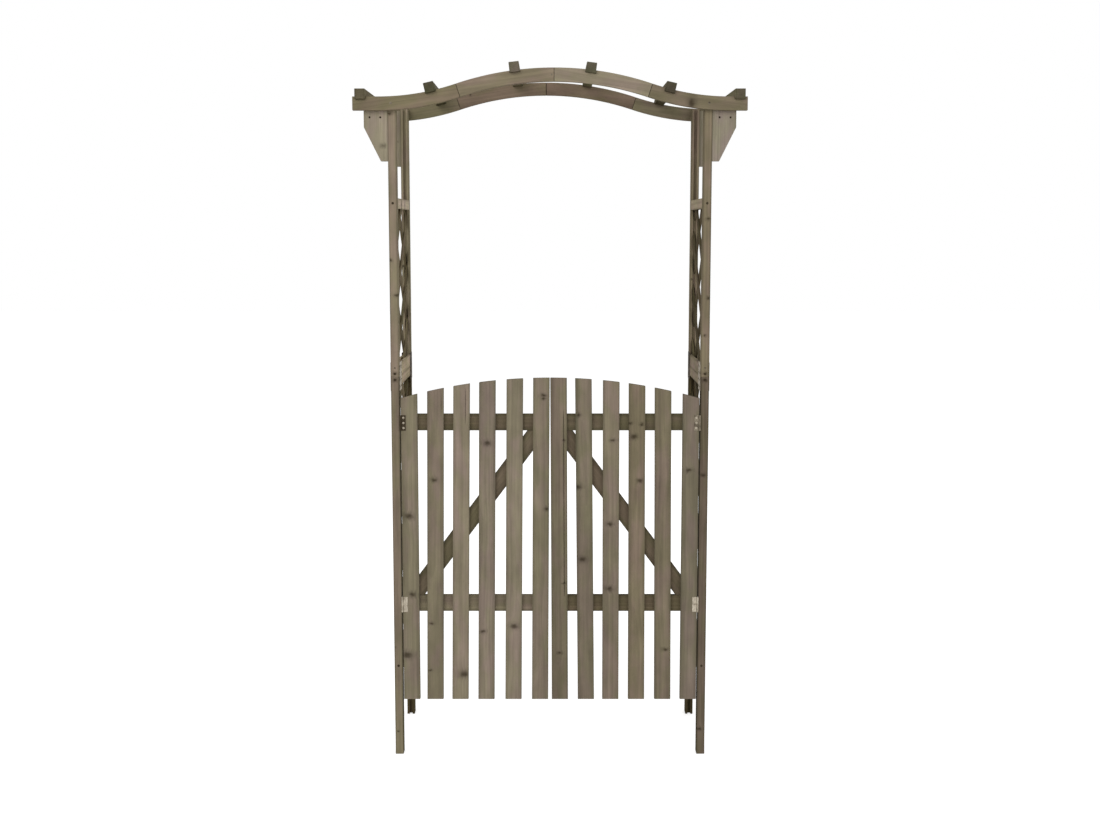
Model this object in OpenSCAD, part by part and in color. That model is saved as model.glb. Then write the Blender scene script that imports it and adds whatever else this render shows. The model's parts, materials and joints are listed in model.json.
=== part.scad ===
// Wooden garden arch with a double picket gate.
// Origin on the ground at the middle of the four feet. +X to the right, +Y to the back, +Z up.
// The arch is two trellis side panels, two curved beams, six battens and four corner brackets.
// Each gate leaf hangs on two butt hinges whose pins stand just in front of the front posts.

/* [Frame] */
// Clear width between the left and right posts
clear_w = 909; // [700:1:1300]
// Depth over the outer faces of the front and back posts
frame_d = 344; // [250:1:700]
// Height of the posts
post_h = 2005; // [1600:1:2450]
// Width of a post, across the passage
post_w = 25; // [22:0.5:45]
// Depth of a post, front to back
post_d = 28; // [25:0.5:45]
// Depth of the slot in a post
slot_d = 10; // [6:0.5:12]
// Height of the joint between the lower and the upper length of each post
joint_z = 1180; // [1000:1:1300]

/* [Side rails] */
// Height of a side rail
rail_h = 31; // [25:1:45]
// Height of the rail at the foot of each upper panel
sill_h = 37; // [30:1:50]
// Distance from the underside of the top side rail up to the top of the posts
top_rail_drop = 321; // [280:1:400]
// Underside of the lowest side rail
foot_rail_z = 267; // [150:1:400]
// Depth of the slot in a side rail
rail_slot_d = 6; // [4:0.5:10]

/* [Lattice] */
// Width of a lattice slat
slat_w = 30; // [18:1:45]
// Thickness of a lattice slat
slat_t = 4.5; // [3.5:0.1:6]
// Distance between parallel slats, measured up the panel
slat_pitch = 172; // [120:1:200]
// Height at which a rising slat of the left side crosses the middle of the panel
left_rise_z = 1514; // [1400:1:1600]
// Height at which a falling slat of the left side crosses the middle of the panel
left_fall_z = 1494; // [1400:1:1600]
// Height at which a rising slat of the right side crosses the middle of the panel
right_rise_z = 1441; // [1400:1:1600]
// Height at which a falling slat of the right side crosses the middle of the panel
right_fall_z = 1480; // [1400:1:1600]
// Clearance between the lattice and the bottom of its slots
slot_clearance = 0.3; // [0.2:0.05:0.5]
// Clearance between the faces of the lattice and the sides of its slots
slot_side_gap = 0.4; // [0.2:0.05:0.6]

/* [Post joint plates] */
// Thickness of a joint plate
joint_plate_t = 1.5; // [1:0.1:2.5]
// Width of a joint plate, front to back
joint_plate_w = 48; // [35:1:60]
// Height of a joint plate
joint_plate_h = 86; // [60:1:120]
// Distance from the outer face of the post to the edge of the plate
joint_plate_inset = 6; // [2:0.5:10]

/* [Arch beams] */
// How far a beam runs past the outer faces of the posts
beam_overhang = 100.5; // [90:0.5:200]
// Height of a beam
beam_h = 40; // [30:1:60]
// Thickness of a beam, front to back
beam_t = 18; // [14:1:30]
// Distance from the top of a post up to the top of the straight beam ends
post_top_gap = 5; // [0:1:15]
// Length of the straight stretch at the end of a beam whose crown is in the middle
beam_straight_l = 62; // [30:1:90]
// Radius of the centre line over the crown
crown_r = 899; // [700:1:1200]
// Angle of the crown arc on each side
crown_angle = 18.3; // [12:0.1:20]
// How far the crown of the front beam lies to the right, and that of the back beam to the left
crown_shift = 12; // [0:1:15]
// How much lower the back beam sits than the front beam
back_drop = 2; // [0:0.5:3]

/* [Battens] */
// How far a batten runs past the outer faces of the beams
batten_overhang = 10; // [5:1:100]
// Width of a batten
batten_w = 30; // [20:1:45]
// Height of a batten
batten_h = 30; // [20:1:45]
// Depth to which a batten is let into the beams
notch_d = 8; // [6:0.5:12]
// Distance from the end of a beam to the side of the outer batten
batten_margin = 8; // [5:1:20]
// Distance of the second battens from the middle
second_batten_x = 352; // [210:1:400]
// Distance between the two inner battens
inner_batten_span = 224; // [120:1:300]
// How far the pair of inner battens lies to the right
inner_batten_shift = 8; // [-15:1:15]

/* [Corner brackets] */
// Width of a corner bracket
bracket_w = 70; // [50:1:90]
// Thickness of a corner bracket
bracket_t = 18; // [12:1:25]
// Height of a corner bracket
bracket_h = 177; // [140:1:220]
// Width of the foot of a corner bracket
bracket_foot_w = 21; // [10:1:40]
// Height of the upright outer edge above the slope
bracket_edge_h = 78; // [60:1:110]
// Distance from the top of a bracket up to the batten above it
bracket_top_gap = 2; // [1:1:15]
// Diameter of the two holes in a bracket
bracket_hole_d = 6; // [3:0.5:8]
// Distance from the top of a bracket down to the holes
bracket_hole_drop = 49; // [45:1:60]
// Distance of the inner hole from the post
bracket_hole_x = 21; // [10:1:30]
// Distance between the two holes
bracket_hole_span = 32; // [15:1:40]

/* [Gate leaves] */
// Height of the feet of the pickets
gate_foot_z = 176; // [60:1:300]
// Height of the top of the gate at its middle
gate_crown_z = 1177; // [900:1:1400]
// Radius of the arc on which the pickets end
gate_crown_r = 1675; // [1200:1:3000]
// Gap between a leaf and its post
hinge_gap = 3.5; // [3.5:0.1:6]
// Gap between the two leaves at half height
leaf_gap = 6.5; // [5.5:0.5:16]
// Width of a picket
picket_w = 50; // [35:1:60]
// Thickness of a picket
picket_t = 12; // [8:0.5:16]
// Height of a gate rail
gate_rail_h = 50; // [35:1:70]
// Thickness of the gate rails and braces
gate_rail_t = 16; // [10:0.5:22]
// Underside of the lower gate rail
low_rail_z = 452; // [350:1:550]
// Underside of the upper gate rail
high_rail_z = 1015; // [850:1:1030]
// Distance from the end of a gate rail to the edge of the leaf
rail_end_inset = 2; // [2:0.5:10]
// Width of a brace
brace_w = 50; // [35:1:60]

/* [Hinges] */
// Height of a hinge
hinge_h = 47; // [35:1:50]
// Outer radius of the knuckle
knuckle_r = 2.8; // [2.5:0.1:4]
// Radius of the pin
pin_r = 1.5; // [1.2:0.1:1.8]
// Running clearance between the pin and its bore
pin_clearance = 0.08; // [0.05:0.01:0.1]
// Thickness of the hinge plates
hinge_plate_t = 1.2; // [0.8:0.1:1.5]
// Width of a hinge plate beyond the knuckle
hinge_plate_w = 13; // [8:0.5:18]
// Gap between the fixed and the turning parts of a knuckle
knuckle_gap = 0.5; // [0.3:0.1:1]

/* [Hidden] */
$fn = 96;
LEFT = -1;
RIGHT = 1;
FRONT = -1;
BACK = 1;

GREY_WOOD = [0.47, 0.43, 0.36];
PALE_WOOD = [0.54, 0.50, 0.43];
DARK_WOOD = [0.37, 0.34, 0.27];
ZINC = [0.70, 0.68, 0.64];

// Relative widths of the gaps between pickets, and the lean of each picket towards the middle of
// the gate in degrees. Both lists run from the hinges to the middle.
LEFT_GAPS = [26, 28, 29, 33, 31];
RIGHT_GAPS = [31, 29, 28, 29, 27];
LEFT_LEANS = [0, 0.5, 0.6, 0.45, 0.4, 0.28];
RIGHT_LEANS = [0, 0.35, 0.2, 0.1, 0.6, 0.28];
picket_count = len(LEFT_LEANS);

inner_x = clear_w / 2;             // inner faces of the posts
outer_x = inner_x + post_w;        // outer faces of the posts
panel_x = inner_x + post_w / 2;    // middle plane of a side panel
outer_y = frame_d / 2;             // outer faces of the posts, front and back
inner_y = outer_y - post_d;        // facing faces of the posts
top_rail_z = post_h - top_rail_drop;
cut = 1;                           // how far a cutting shape runs past a surface

// Lattice: the two layers press a little into each other where they are pinned
slat_bite = 0.2;
lattice_t = 2 * slat_t - slat_bite;
slot_w = lattice_t + 2 * slot_side_gap;

// Beams: where the flare meets the straight end, the radius of its centre line, and how far the
// crown rises above the ends
beam_l = 2 * (outer_x + beam_overhang);
beam_end_z = post_h + post_top_gap;
beam_end_mid_z = beam_end_z - beam_h / 2;
flare_x = beam_l / 2 - beam_straight_l;
flare_r = flare_x / sin(crown_angle) - crown_r;
beam_rise = (crown_r + flare_r) * (1 - cos(crown_angle));

// Battens and brackets
batten_l = frame_d + 2 * (beam_t + batten_overhang);
outer_batten_x = beam_l / 2 - batten_margin - batten_w / 2;
bracket_top_z = beam_end_z - notch_d - bracket_top_gap;

// Gate leaf
hinge_edge_x = inner_x - hinge_gap;
free_edge_x = leaf_gap / 2;
leaf_w = hinge_edge_x - free_edge_x;
leaf_mid_z = (gate_foot_z + gate_crown_z) / 2;
rail_hinge_x = hinge_edge_x - rail_end_inset;
rail_free_x = free_edge_x + rail_end_inset;
brace_foot_z = low_rail_z + gate_rail_h;

// Hinges
knuckle_x = inner_x - hinge_gap / 2;
knuckle_y = -outer_y - knuckle_r;
hinge_zs = [low_rail_z + gate_rail_h / 2, high_rail_z + gate_rail_h / 2];
turning_h = hinge_h * 0.38;

function sum(list, last) = last < 0 ? 0 : list[last] + sum(list, last - 1);

// A box from its low corner to its high corner
module block(low, high) {
    translate(low) cube(high - low);
}

// Places a shape drawn for the right or the back on the side that is asked for
module on_side(side) {
    if (side == LEFT) mirror([1, 0, 0]) children();
    else children();
}
module on_face(face) {
    if (face == FRONT) mirror([0, 1, 0]) children();
    else children();
}

// ---- Posts and side panels ----

// One length of a post, with the slot for the lattice in its facing face
module post(side, face, low_z, high_z) {
    color(GREY_WOOD) on_side(side) on_face(face) difference() {
        block([inner_x, inner_y, low_z], [outer_x, outer_y, high_z]);
        block([panel_x - slot_w / 2, inner_y - cut, low_z - cut],
              [panel_x + slot_w / 2, inner_y + slot_d, high_z + cut]);
    }
}
module lower_post(side, face) { post(side, face, 0, joint_z); }
module upper_post(side, face) { post(side, face, joint_z, post_h); }

// A side rail between two posts; its slot opens up or down towards the lattice
module side_rail(low_z, height, opens_up) {
    slot_z = opens_up ? low_z + height - rail_slot_d : low_z - cut;
    difference() {
        block([inner_x, -inner_y, low_z], [outer_x, inner_y, low_z + height]);
        block([panel_x - slot_w / 2, -inner_y - cut, slot_z],
              [panel_x + slot_w / 2, inner_y + cut, slot_z + rail_slot_d + cut]);
    }
}
module lower_side_rails(side) {
    color(GREY_WOOD) on_side(side) {
        side_rail(foot_rail_z, rail_h, true);
        side_rail(joint_z - rail_h, rail_h, false);
    }
}
module upper_side_rails(side) {
    color(GREY_WOOD) on_side(side) {
        side_rail(joint_z, sill_h, true);
        side_rail(top_rail_z, rail_h, false);
    }
}

// Parallel slats at 45 degrees; the middle one crosses the panel's middle at mid_z
module slats(direction, mid_z, low_z, high_z, near_x) {
    half_w = inner_y + slot_d;
    first = floor((low_z - half_w - mid_z) / slat_pitch);
    last = ceil((high_z + half_w - mid_z) / slat_pitch);
    length = 4 * half_w;
    for (i = [first : last])
        translate([near_x, 0, mid_z + i * slat_pitch]) rotate([direction * 45, 0, 0])
            translate([0, -length / 2, -slat_w / 2]) cube([slat_t, length, slat_w]);
}

// Two crossed layers of slats that reach into the slots round the panel
module lattice(side, low_z, high_z, rise_z, fall_z) {
    low = low_z - rail_slot_d + slot_clearance;
    high = high_z + rail_slot_d - slot_clearance;
    reach = inner_y + slot_d - slot_clearance;
    color(DARK_WOOD) on_side(side) intersection() {
        union() {
            slats(1, rise_z, low, high, panel_x - lattice_t / 2);
            slats(-1, fall_z, low, high, panel_x + lattice_t / 2 - slat_t);
        }
        block([inner_x, -reach, low], [outer_x, reach, high]);
    }
}
module lower_lattice(side, rise_z, fall_z) {
    lattice(side, foot_rail_z + rail_h, joint_z - rail_h, rise_z, fall_z);
}
module upper_lattice(side, rise_z, fall_z) {
    lattice(side, joint_z + sill_h, top_rail_z, rise_z, fall_z);
}

// Flat plates on both sides of each post joint, which also catch the side rails
module post_joint_plates() {
    low_z = joint_z - joint_plate_h / 2;
    far_y = outer_y - joint_plate_inset;
    color(ZINC) for (side = [LEFT, RIGHT]) for (face = [FRONT, BACK])
        on_side(side) on_face(face) for (x = [inner_x - joint_plate_t, outer_x])
            translate([x, far_y - joint_plate_w, low_z])
                cube([joint_plate_t, joint_plate_w, joint_plate_h]);
}

// ---- Arch beams, battens and brackets ----

// Full ring round an axis that runs front to back, beam_h high about the centre-line radius
module ring(radius) {
    rotate([-90, 0, 0]) difference() {
        cylinder(r = radius + beam_h / 2, h = beam_t, $fn = 360);
        translate([0, 0, -cut]) cylinder(r = radius - beam_h / 2, h = beam_t + 2 * cut, $fn = 360);
    }
}

// Wedge with its point on the crown's centre, from one angle off the upright to another
module crown_wedge(from_angle, to_angle) {
    far = 2 * crown_r;
    rotate([90, 0, 0]) translate([0, 0, -beam_t - cut]) linear_extrude(beam_t + 2 * cut)
        polygon([[0, 0], far * [sin(from_angle), cos(from_angle)], far * [sin(to_angle), cos(to_angle)]]);
}

// The crown arc between two angles; angle 0 is the top of the crown, on x = 0
module crown_piece(from_angle, to_angle) {
    translate([0, 0, beam_end_mid_z + beam_rise - crown_r]) intersection() {
        ring(crown_r);
        crown_wedge(from_angle, to_angle);
    }
}

// The right-hand flare and straight end, up to x = end_x
module flare_piece(end_x) {
    flare_z = beam_end_mid_z + flare_r;
    far = 2 * flare_r;
    translate([flare_x, 0, flare_z]) intersection() {
        ring(flare_r);
        rotate([90, 0, 0]) translate([0, 0, -beam_t - cut]) linear_extrude(beam_t + 2 * cut)
            polygon([[0, 0], far * [-sin(crown_angle), -cos(crown_angle)], far * [0, -1]]);
    }
    block([flare_x, 0, beam_end_mid_z - beam_h / 2], [end_x, beam_t, beam_end_mid_z + beam_h / 2]);
}

// Puts a piece of beam, drawn from y = 0 with its crown on x = 0, on the front or back posts
module place_beam(face) {
    shift = face == FRONT ? [crown_shift, -outer_y - beam_t, 0] : [-crown_shift, outer_y, -back_drop];
    translate(shift) children();
}

// The beam pieces are let out for every batten that lies on them
module beam_piece(face) {
    color(GREY_WOOD) difference() {
        place_beam(face) children();
        for (x = batten_xs) batten_body(x);
    }
}
module beam_left_end(face) {
    end_x = beam_l / 2 + (face == FRONT ? crown_shift : -crown_shift);
    beam_piece(face) mirror([1, 0, 0]) flare_piece(end_x);
}
module beam_right_end(face) {
    end_x = beam_l / 2 - (face == FRONT ? crown_shift : -crown_shift);
    beam_piece(face) flare_piece(end_x);
}
module beam_left_crown(face) { beam_piece(face) crown_piece(-crown_angle, 0); }
module beam_right_crown(face) { beam_piece(face) crown_piece(0, crown_angle); }

// Where the top edge of a beam lies at x when its crown is on x = 0, and how steep it is there
crown_top_r = crown_r + beam_h / 2;
flare_top_r = flare_r - beam_h / 2;
function on_crown(x) = abs(x) <= crown_top_r * sin(crown_angle);
function on_flare(x) = abs(x) < flare_x;
function top_z(x) =
    on_crown(x) ? beam_end_z + beam_rise - crown_top_r + sqrt(pow(crown_top_r, 2) - x * x) :
    on_flare(x) ? beam_end_z + flare_top_r - sqrt(pow(flare_top_r, 2) - pow(flare_x - abs(x), 2)) :
    beam_end_z;
function top_slope(x) =
    on_crown(x) ? asin(x / crown_top_r) :
    on_flare(x) ? sign(x) * asin((flare_x - abs(x)) / flare_top_r) : 0;

batten_xs = [
    -outer_batten_x, -second_batten_x, inner_batten_shift - inner_batten_span / 2,
    inner_batten_shift + inner_batten_span / 2, second_batten_x, outer_batten_x
];

// A batten lies square to the curve of the beams
module batten_body(x) {
    translate([x, -batten_l / 2, top_z(x)]) rotate([0, top_slope(x), 0])
        translate([-batten_w / 2, 0, -notch_d]) cube([batten_w, batten_l, batten_h]);
}
module batten(number) { color(DARK_WOOD) batten_body(batten_xs[number - 1]); }

// Board in the corner between a post and the beam end, drawn for the right-hand back corner
module bracket(side, face) {
    foot = bracket_top_z - bracket_h;
    edge_foot = bracket_top_z - bracket_edge_h;
    color(PALE_WOOD) on_side(side) on_face(face) difference() {
        translate([outer_x, outer_y, 0]) rotate([90, 0, 0]) linear_extrude(bracket_t)
            polygon([[0, foot], [bracket_foot_w, foot], [bracket_w, edge_foot],
                     [bracket_w, bracket_top_z], [0, bracket_top_z]]);
        for (i = [0, 1])
            translate([outer_x + bracket_hole_x + i * bracket_hole_span, outer_y + cut,
                       bracket_top_z - bracket_hole_drop])
                rotate([90, 0, 0]) cylinder(d = bracket_hole_d, h = bracket_t + 2 * cut, $fn = 24);
    }
}

// ---- Gate ----

// Space that the pickets fill: from their feet to the arc over both leaves
module gate_outline() {
    intersection() {
        translate([0, -outer_y, gate_crown_z - gate_crown_r]) rotate([-90, 0, 0])
            cylinder(r = gate_crown_r, h = picket_t, $fn = 720);
        block([-inner_x, -outer_y, gate_foot_z], [inner_x, -outer_y + picket_t, gate_crown_z + cut]);
    }
}

// The pickets of a leaf, counted from the hinges
module pickets(side, gaps, leans) {
    spare = leaf_w - picket_count * picket_w;
    all_gaps = sum(gaps, picket_count - 2);
    color(GREY_WOOD) on_side(side) intersection() {
        gate_outline();
        for (i = [0 : picket_count - 1])
            translate([hinge_edge_x - i * picket_w - spare * sum(gaps, i - 1) / all_gaps,
                       -outer_y - cut, leaf_mid_z])
                rotate([0, -leans[i], 0]) translate([-picket_w, 0, -leaf_mid_z])
                    cube([picket_w, picket_t + 2 * cut, 2 * leaf_mid_z]);
    }
}

module gate_rails(side) {
    near_y = -outer_y + picket_t;
    color(DARK_WOOD) on_side(side) for (z = [low_rail_z, high_rail_z])
        block([rail_free_x, near_y, z], [rail_hinge_x, near_y + gate_rail_t, z + gate_rail_h]);
}

// The brace rises from the hinge side of the lower rail to the free side of the upper rail
module brace(side) {
    rise = high_rail_z - brace_foot_z;
    run = rail_hinge_x - rail_free_x;
    angle = atan(rise / run) + asin(brace_w / norm([run, rise]));
    level_w = brace_w / sin(angle);
    color(DARK_WOOD) on_side(side) translate([0, -outer_y + picket_t + gate_rail_t, 0])
        rotate([90, 0, 0]) linear_extrude(gate_rail_t)
            polygon([[rail_hinge_x, brace_foot_z], [rail_free_x + level_w, high_rail_z],
                     [rail_free_x, high_rail_z], [rail_hinge_x - level_w, brace_foot_z]]);
}

// ---- Hinges, drawn for the right-hand post with z = 0 at half height ----

// Upright solid round the hinge axis
module knuckle(radius, low_z, high_z) {
    translate([knuckle_x, knuckle_y, low_z]) cylinder(r = radius, h = high_z - low_z, $fn = 48);
}

// The fixed half: plate on the inner face of the post, end knuckles and pin in one piece
module hinge_fixed_half() {
    end_z = turning_h / 2 + knuckle_gap;
    plate_y = -outer_y + knuckle_gap;
    for (z = [-hinge_h / 2, end_z]) {
        knuckle(knuckle_r, z, z + hinge_h / 2 - end_z);
        block([inner_x - hinge_plate_t, knuckle_y, z], [inner_x, plate_y + cut, z + hinge_h / 2 - end_z]);
    }
    block([inner_x - hinge_plate_t, plate_y, -hinge_h / 2],
          [inner_x, -outer_y + hinge_plate_w, hinge_h / 2]);
    knuckle(pin_r, -hinge_h / 2 + cut, hinge_h / 2 - cut);
}

// The turning half: plate on the face of the first picket and the middle knuckle
module hinge_turning_half() {
    edge_x = knuckle_x - knuckle_r - knuckle_gap;
    difference() {
        union() {
            knuckle(knuckle_r, -turning_h / 2, turning_h / 2);
            block([edge_x - cut, -outer_y - hinge_plate_t, -turning_h / 2],
                  [knuckle_x, -outer_y, turning_h / 2]);
            block([edge_x - hinge_plate_w, -outer_y - hinge_plate_t, -hinge_h / 2],
                  [edge_x, -outer_y, hinge_h / 2]);
        }
        knuckle(pin_r + pin_clearance, -turning_h, turning_h);
    }
}

module hinge_fixed_plates(side) {
    color(ZINC) on_side(side) for (z = hinge_zs) translate([0, 0, z]) hinge_fixed_half();
}
module hinge_leaf_plates(side) {
    color(ZINC) on_side(side) for (z = hinge_zs) translate([0, 0, z]) hinge_turning_half();
}

lower_post(LEFT, FRONT);  // left_front_post_lower
upper_post(LEFT, FRONT);  // left_front_post_upper
lower_post(LEFT, BACK);  // left_back_post_lower
upper_post(LEFT, BACK);  // left_back_post_upper
lower_post(RIGHT, FRONT);  // right_front_post_lower
upper_post(RIGHT, FRONT);  // right_front_post_upper
lower_post(RIGHT, BACK);  // right_back_post_lower
upper_post(RIGHT, BACK);  // right_back_post_upper
post_joint_plates();
lower_side_rails(LEFT);  // left_lower_side_rails
upper_side_rails(LEFT);  // left_upper_side_rails
lower_side_rails(RIGHT);  // right_lower_side_rails
upper_side_rails(RIGHT);  // right_upper_side_rails
lower_lattice(LEFT, left_rise_z, left_fall_z);  // left_lower_lattice
upper_lattice(LEFT, left_rise_z, left_fall_z);  // left_upper_lattice
lower_lattice(RIGHT, right_rise_z, right_fall_z);  // right_lower_lattice
upper_lattice(RIGHT, right_rise_z, right_fall_z);  // right_upper_lattice
bracket(LEFT, FRONT);  // left_front_bracket
bracket(LEFT, BACK);  // left_back_bracket
bracket(RIGHT, FRONT);  // right_front_bracket
bracket(RIGHT, BACK);  // right_back_bracket
beam_left_end(FRONT);  // front_beam_left_end
beam_left_crown(FRONT);  // front_beam_left_crown
beam_right_crown(FRONT);  // front_beam_right_crown
beam_right_end(FRONT);  // front_beam_right_end
beam_left_end(BACK);  // back_beam_left_end
beam_left_crown(BACK);  // back_beam_left_crown
beam_right_crown(BACK);  // back_beam_right_crown
beam_right_end(BACK);  // back_beam_right_end
batten(1);  // batten_1
batten(2);  // batten_2
batten(3);  // batten_3
batten(4);  // batten_4
batten(5);  // batten_5
batten(6);  // batten_6
hinge_fixed_plates(LEFT);  // left_hinge_fixed_plates
hinge_fixed_plates(RIGHT);  // right_hinge_fixed_plates
pickets(LEFT, LEFT_GAPS, LEFT_LEANS);  // left_pickets
gate_rails(LEFT);  // left_gate_rails
brace(LEFT);  // left_brace
hinge_leaf_plates(LEFT);  // left_hinge_leaf_plates
pickets(RIGHT, RIGHT_GAPS, RIGHT_LEANS);  // right_pickets
gate_rails(RIGHT);  // right_gate_rails
brace(RIGHT);  // right_brace
hinge_leaf_plates(RIGHT);  // right_hinge_leaf_plates
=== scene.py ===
"""Looks of a wooden garden arch with a double picket gate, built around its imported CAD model.

Lengths are in metres, in the frame of the CAD model: +X to the right seen from the gate side, +Y to
the back, +Z up, with the origin on the ground at the middle of the four feet. Each wooden piece is
an eased copy of its CAD node, marked board by board with attributes that the wood material reads.
"""

from __future__ import annotations

import itertools
import json
import logging
import math
import random
from dataclasses import dataclass, field, replace
from enum import Enum
from functools import reduce
from typing import Callable, Iterable, Sequence

import bmesh
import bpy
from mathutils import Matrix, Vector

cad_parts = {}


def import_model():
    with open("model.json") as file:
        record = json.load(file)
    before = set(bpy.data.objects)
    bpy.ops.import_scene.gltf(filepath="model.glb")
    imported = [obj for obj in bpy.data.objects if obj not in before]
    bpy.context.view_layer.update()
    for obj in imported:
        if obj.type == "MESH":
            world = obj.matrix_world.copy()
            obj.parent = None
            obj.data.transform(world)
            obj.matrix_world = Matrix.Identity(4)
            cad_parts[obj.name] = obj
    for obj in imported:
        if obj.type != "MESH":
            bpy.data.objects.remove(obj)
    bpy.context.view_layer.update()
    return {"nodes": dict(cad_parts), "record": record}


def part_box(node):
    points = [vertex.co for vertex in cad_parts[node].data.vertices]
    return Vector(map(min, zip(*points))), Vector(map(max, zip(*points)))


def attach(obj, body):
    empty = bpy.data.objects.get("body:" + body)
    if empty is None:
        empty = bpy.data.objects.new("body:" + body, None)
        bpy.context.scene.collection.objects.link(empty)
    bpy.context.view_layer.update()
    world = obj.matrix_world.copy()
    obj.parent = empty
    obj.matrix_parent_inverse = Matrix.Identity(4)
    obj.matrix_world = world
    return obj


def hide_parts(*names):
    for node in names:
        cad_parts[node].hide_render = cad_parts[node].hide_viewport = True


LOG = logging.getLogger("garden_arch")

Colour = tuple[float, float, float]
Box = tuple[Vector, Vector]
Verts = list[bmesh.types.BMVert]
Socket = bpy.types.NodeSocket

UP = Vector((0.0, 0.0, 1.0))
RIGHTWARD = Vector((1.0, 0.0, 0.0))
BACKWARD = Vector((0.0, 1.0, 0.0))

# Cosines above which a face looks straight one way, is an end, a seam or lies in painted shade.
SQUARE_ON = 0.99
END_ON = 0.6
SEAM_ON = 0.3
PAINTED_SHADE_ON = 0.8

SMOOTH_ANGLE = math.radians(35)
SHARP_ANGLE = math.radians(24)
FLAT_ANGLE = math.radians(0.4)
MERGE_DISTANCE = 2e-5
DICE_SEED = 7


class Word(Enum):
    """A choice whose name is a word in the names of CAD nodes."""

    @property
    def label(self) -> str:
        """The name in small letters."""
        return self.name.lower()


class Side(Word):
    """The two sides of the arch, seen from the gate side."""

    LEFT = -1
    RIGHT = 1


class Face(Word):
    """The gate side of the arch and the far side."""

    FRONT = -1
    BACK = 1


class Level(Word):
    """The parts of the arch below and above the post joints."""

    LOWER = 0
    UPPER = 1


class Mark(Enum):
    """Mesh attributes that tell the wood material about each board."""

    PLACE = "board_place"
    HALF = "board_half"
    TONE = "board_tone"
    SEED = "board_seed"
    END = "board_end"
    KNOT_1 = "knot_1"
    KNOT_2 = "knot_2"
    KNOT_3 = "knot_3"
    KNOT_4 = "knot_4"


KNOT_MARKS = (Mark.KNOT_1, Mark.KNOT_2, Mark.KNOT_3, Mark.KNOT_4)


class Pattern(Enum):
    """Noise patterns of the wood, by their features a metre along, across and through a board."""

    WOBBLE = (90.0, 90.0, 90.0)
    WARP = (2.4, 14.0, 14.0)
    BLOTCH = (1.5, 8.0, 8.0)
    MOTTLE = (11.0, 26.0, 26.0)
    BAND = (0.55, 38.0, 38.0)
    STREAK = (1.1, 150.0, 150.0)
    FIBRE = (7.0, 520.0, 520.0)


def linear(stain: Colour) -> Colour:
    """Turns a colour of 0 to 255 a channel into linear light.

    Args:
        stain: Red, green and blue as a paint chart gives them.

    Returns:
        The same colour as the shader's sockets take it.
    """
    shares = [level / 255.0 for level in stain]
    return tuple(s / 12.92 if s <= 0.04045 else ((s + 0.055) / 1.055) ** 2.4 for s in shares)


def tinted(colour: Colour, tint: Colour) -> Colour:
    """Multiplies a colour by a tint."""
    return tuple(part * factor for part, factor in zip(colour, tint))


# ---- Shader building ----


class NodeSketch:
    """Short-hand for drawing a node tree."""

    def __init__(self, tree: bpy.types.NodeTree) -> None:
        """Takes the tree to draw in."""
        self.tree = tree

    def node(self, kind: str, **settings: object) -> bpy.types.Node:
        """Adds a node.

        Args:
            kind: The last part of the node's type name.
            settings: Properties to set on it.

        Returns:
            The new node.
        """
        made = self.tree.nodes.new(f"ShaderNode{kind}")
        for key, value in settings.items():
            setattr(made, key, value)
        return made

    def feed(self, node: bpy.types.Node, values: dict[str | int, object]) -> bpy.types.Node:
        """Sets inputs of a node, with links where the values are outputs of other nodes.

        Args:
            node: The node.
            values: The values by the names or numbers of the inputs.

        Returns:
            The same node.
        """
        for key, value in values.items():
            if isinstance(value, bpy.types.NodeSocket):
                self.tree.links.new(value, node.inputs[key])
            else:
                node.inputs[key].default_value = value
        return node

    def math(self, operation: str, *terms: object) -> Socket:
        """Adds a Math node over one to three numbers."""
        return self.feed(self.node("Math", operation=operation), dict(enumerate(terms))).outputs[0]

    def product(self, *terms: object) -> Socket:
        """Multiplies two or more numbers."""
        return reduce(lambda total, term: self.math("MULTIPLY", total, term), terms)

    def seen_ray(self) -> Socket:
        """Tells the rays that see a surface from those that only light it.

        Returns:
            1 where the camera sees a surface directly, in a mirror or through glass, and 0 elsewhere.
        """
        rays = self.node("LightPath").outputs
        names = ("Is Camera Ray", "Is Glossy Ray", "Is Transmission Ray")
        return reduce(lambda seen, ray: self.math("MAXIMUM", seen, ray), [rays[name] for name in names])


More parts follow.
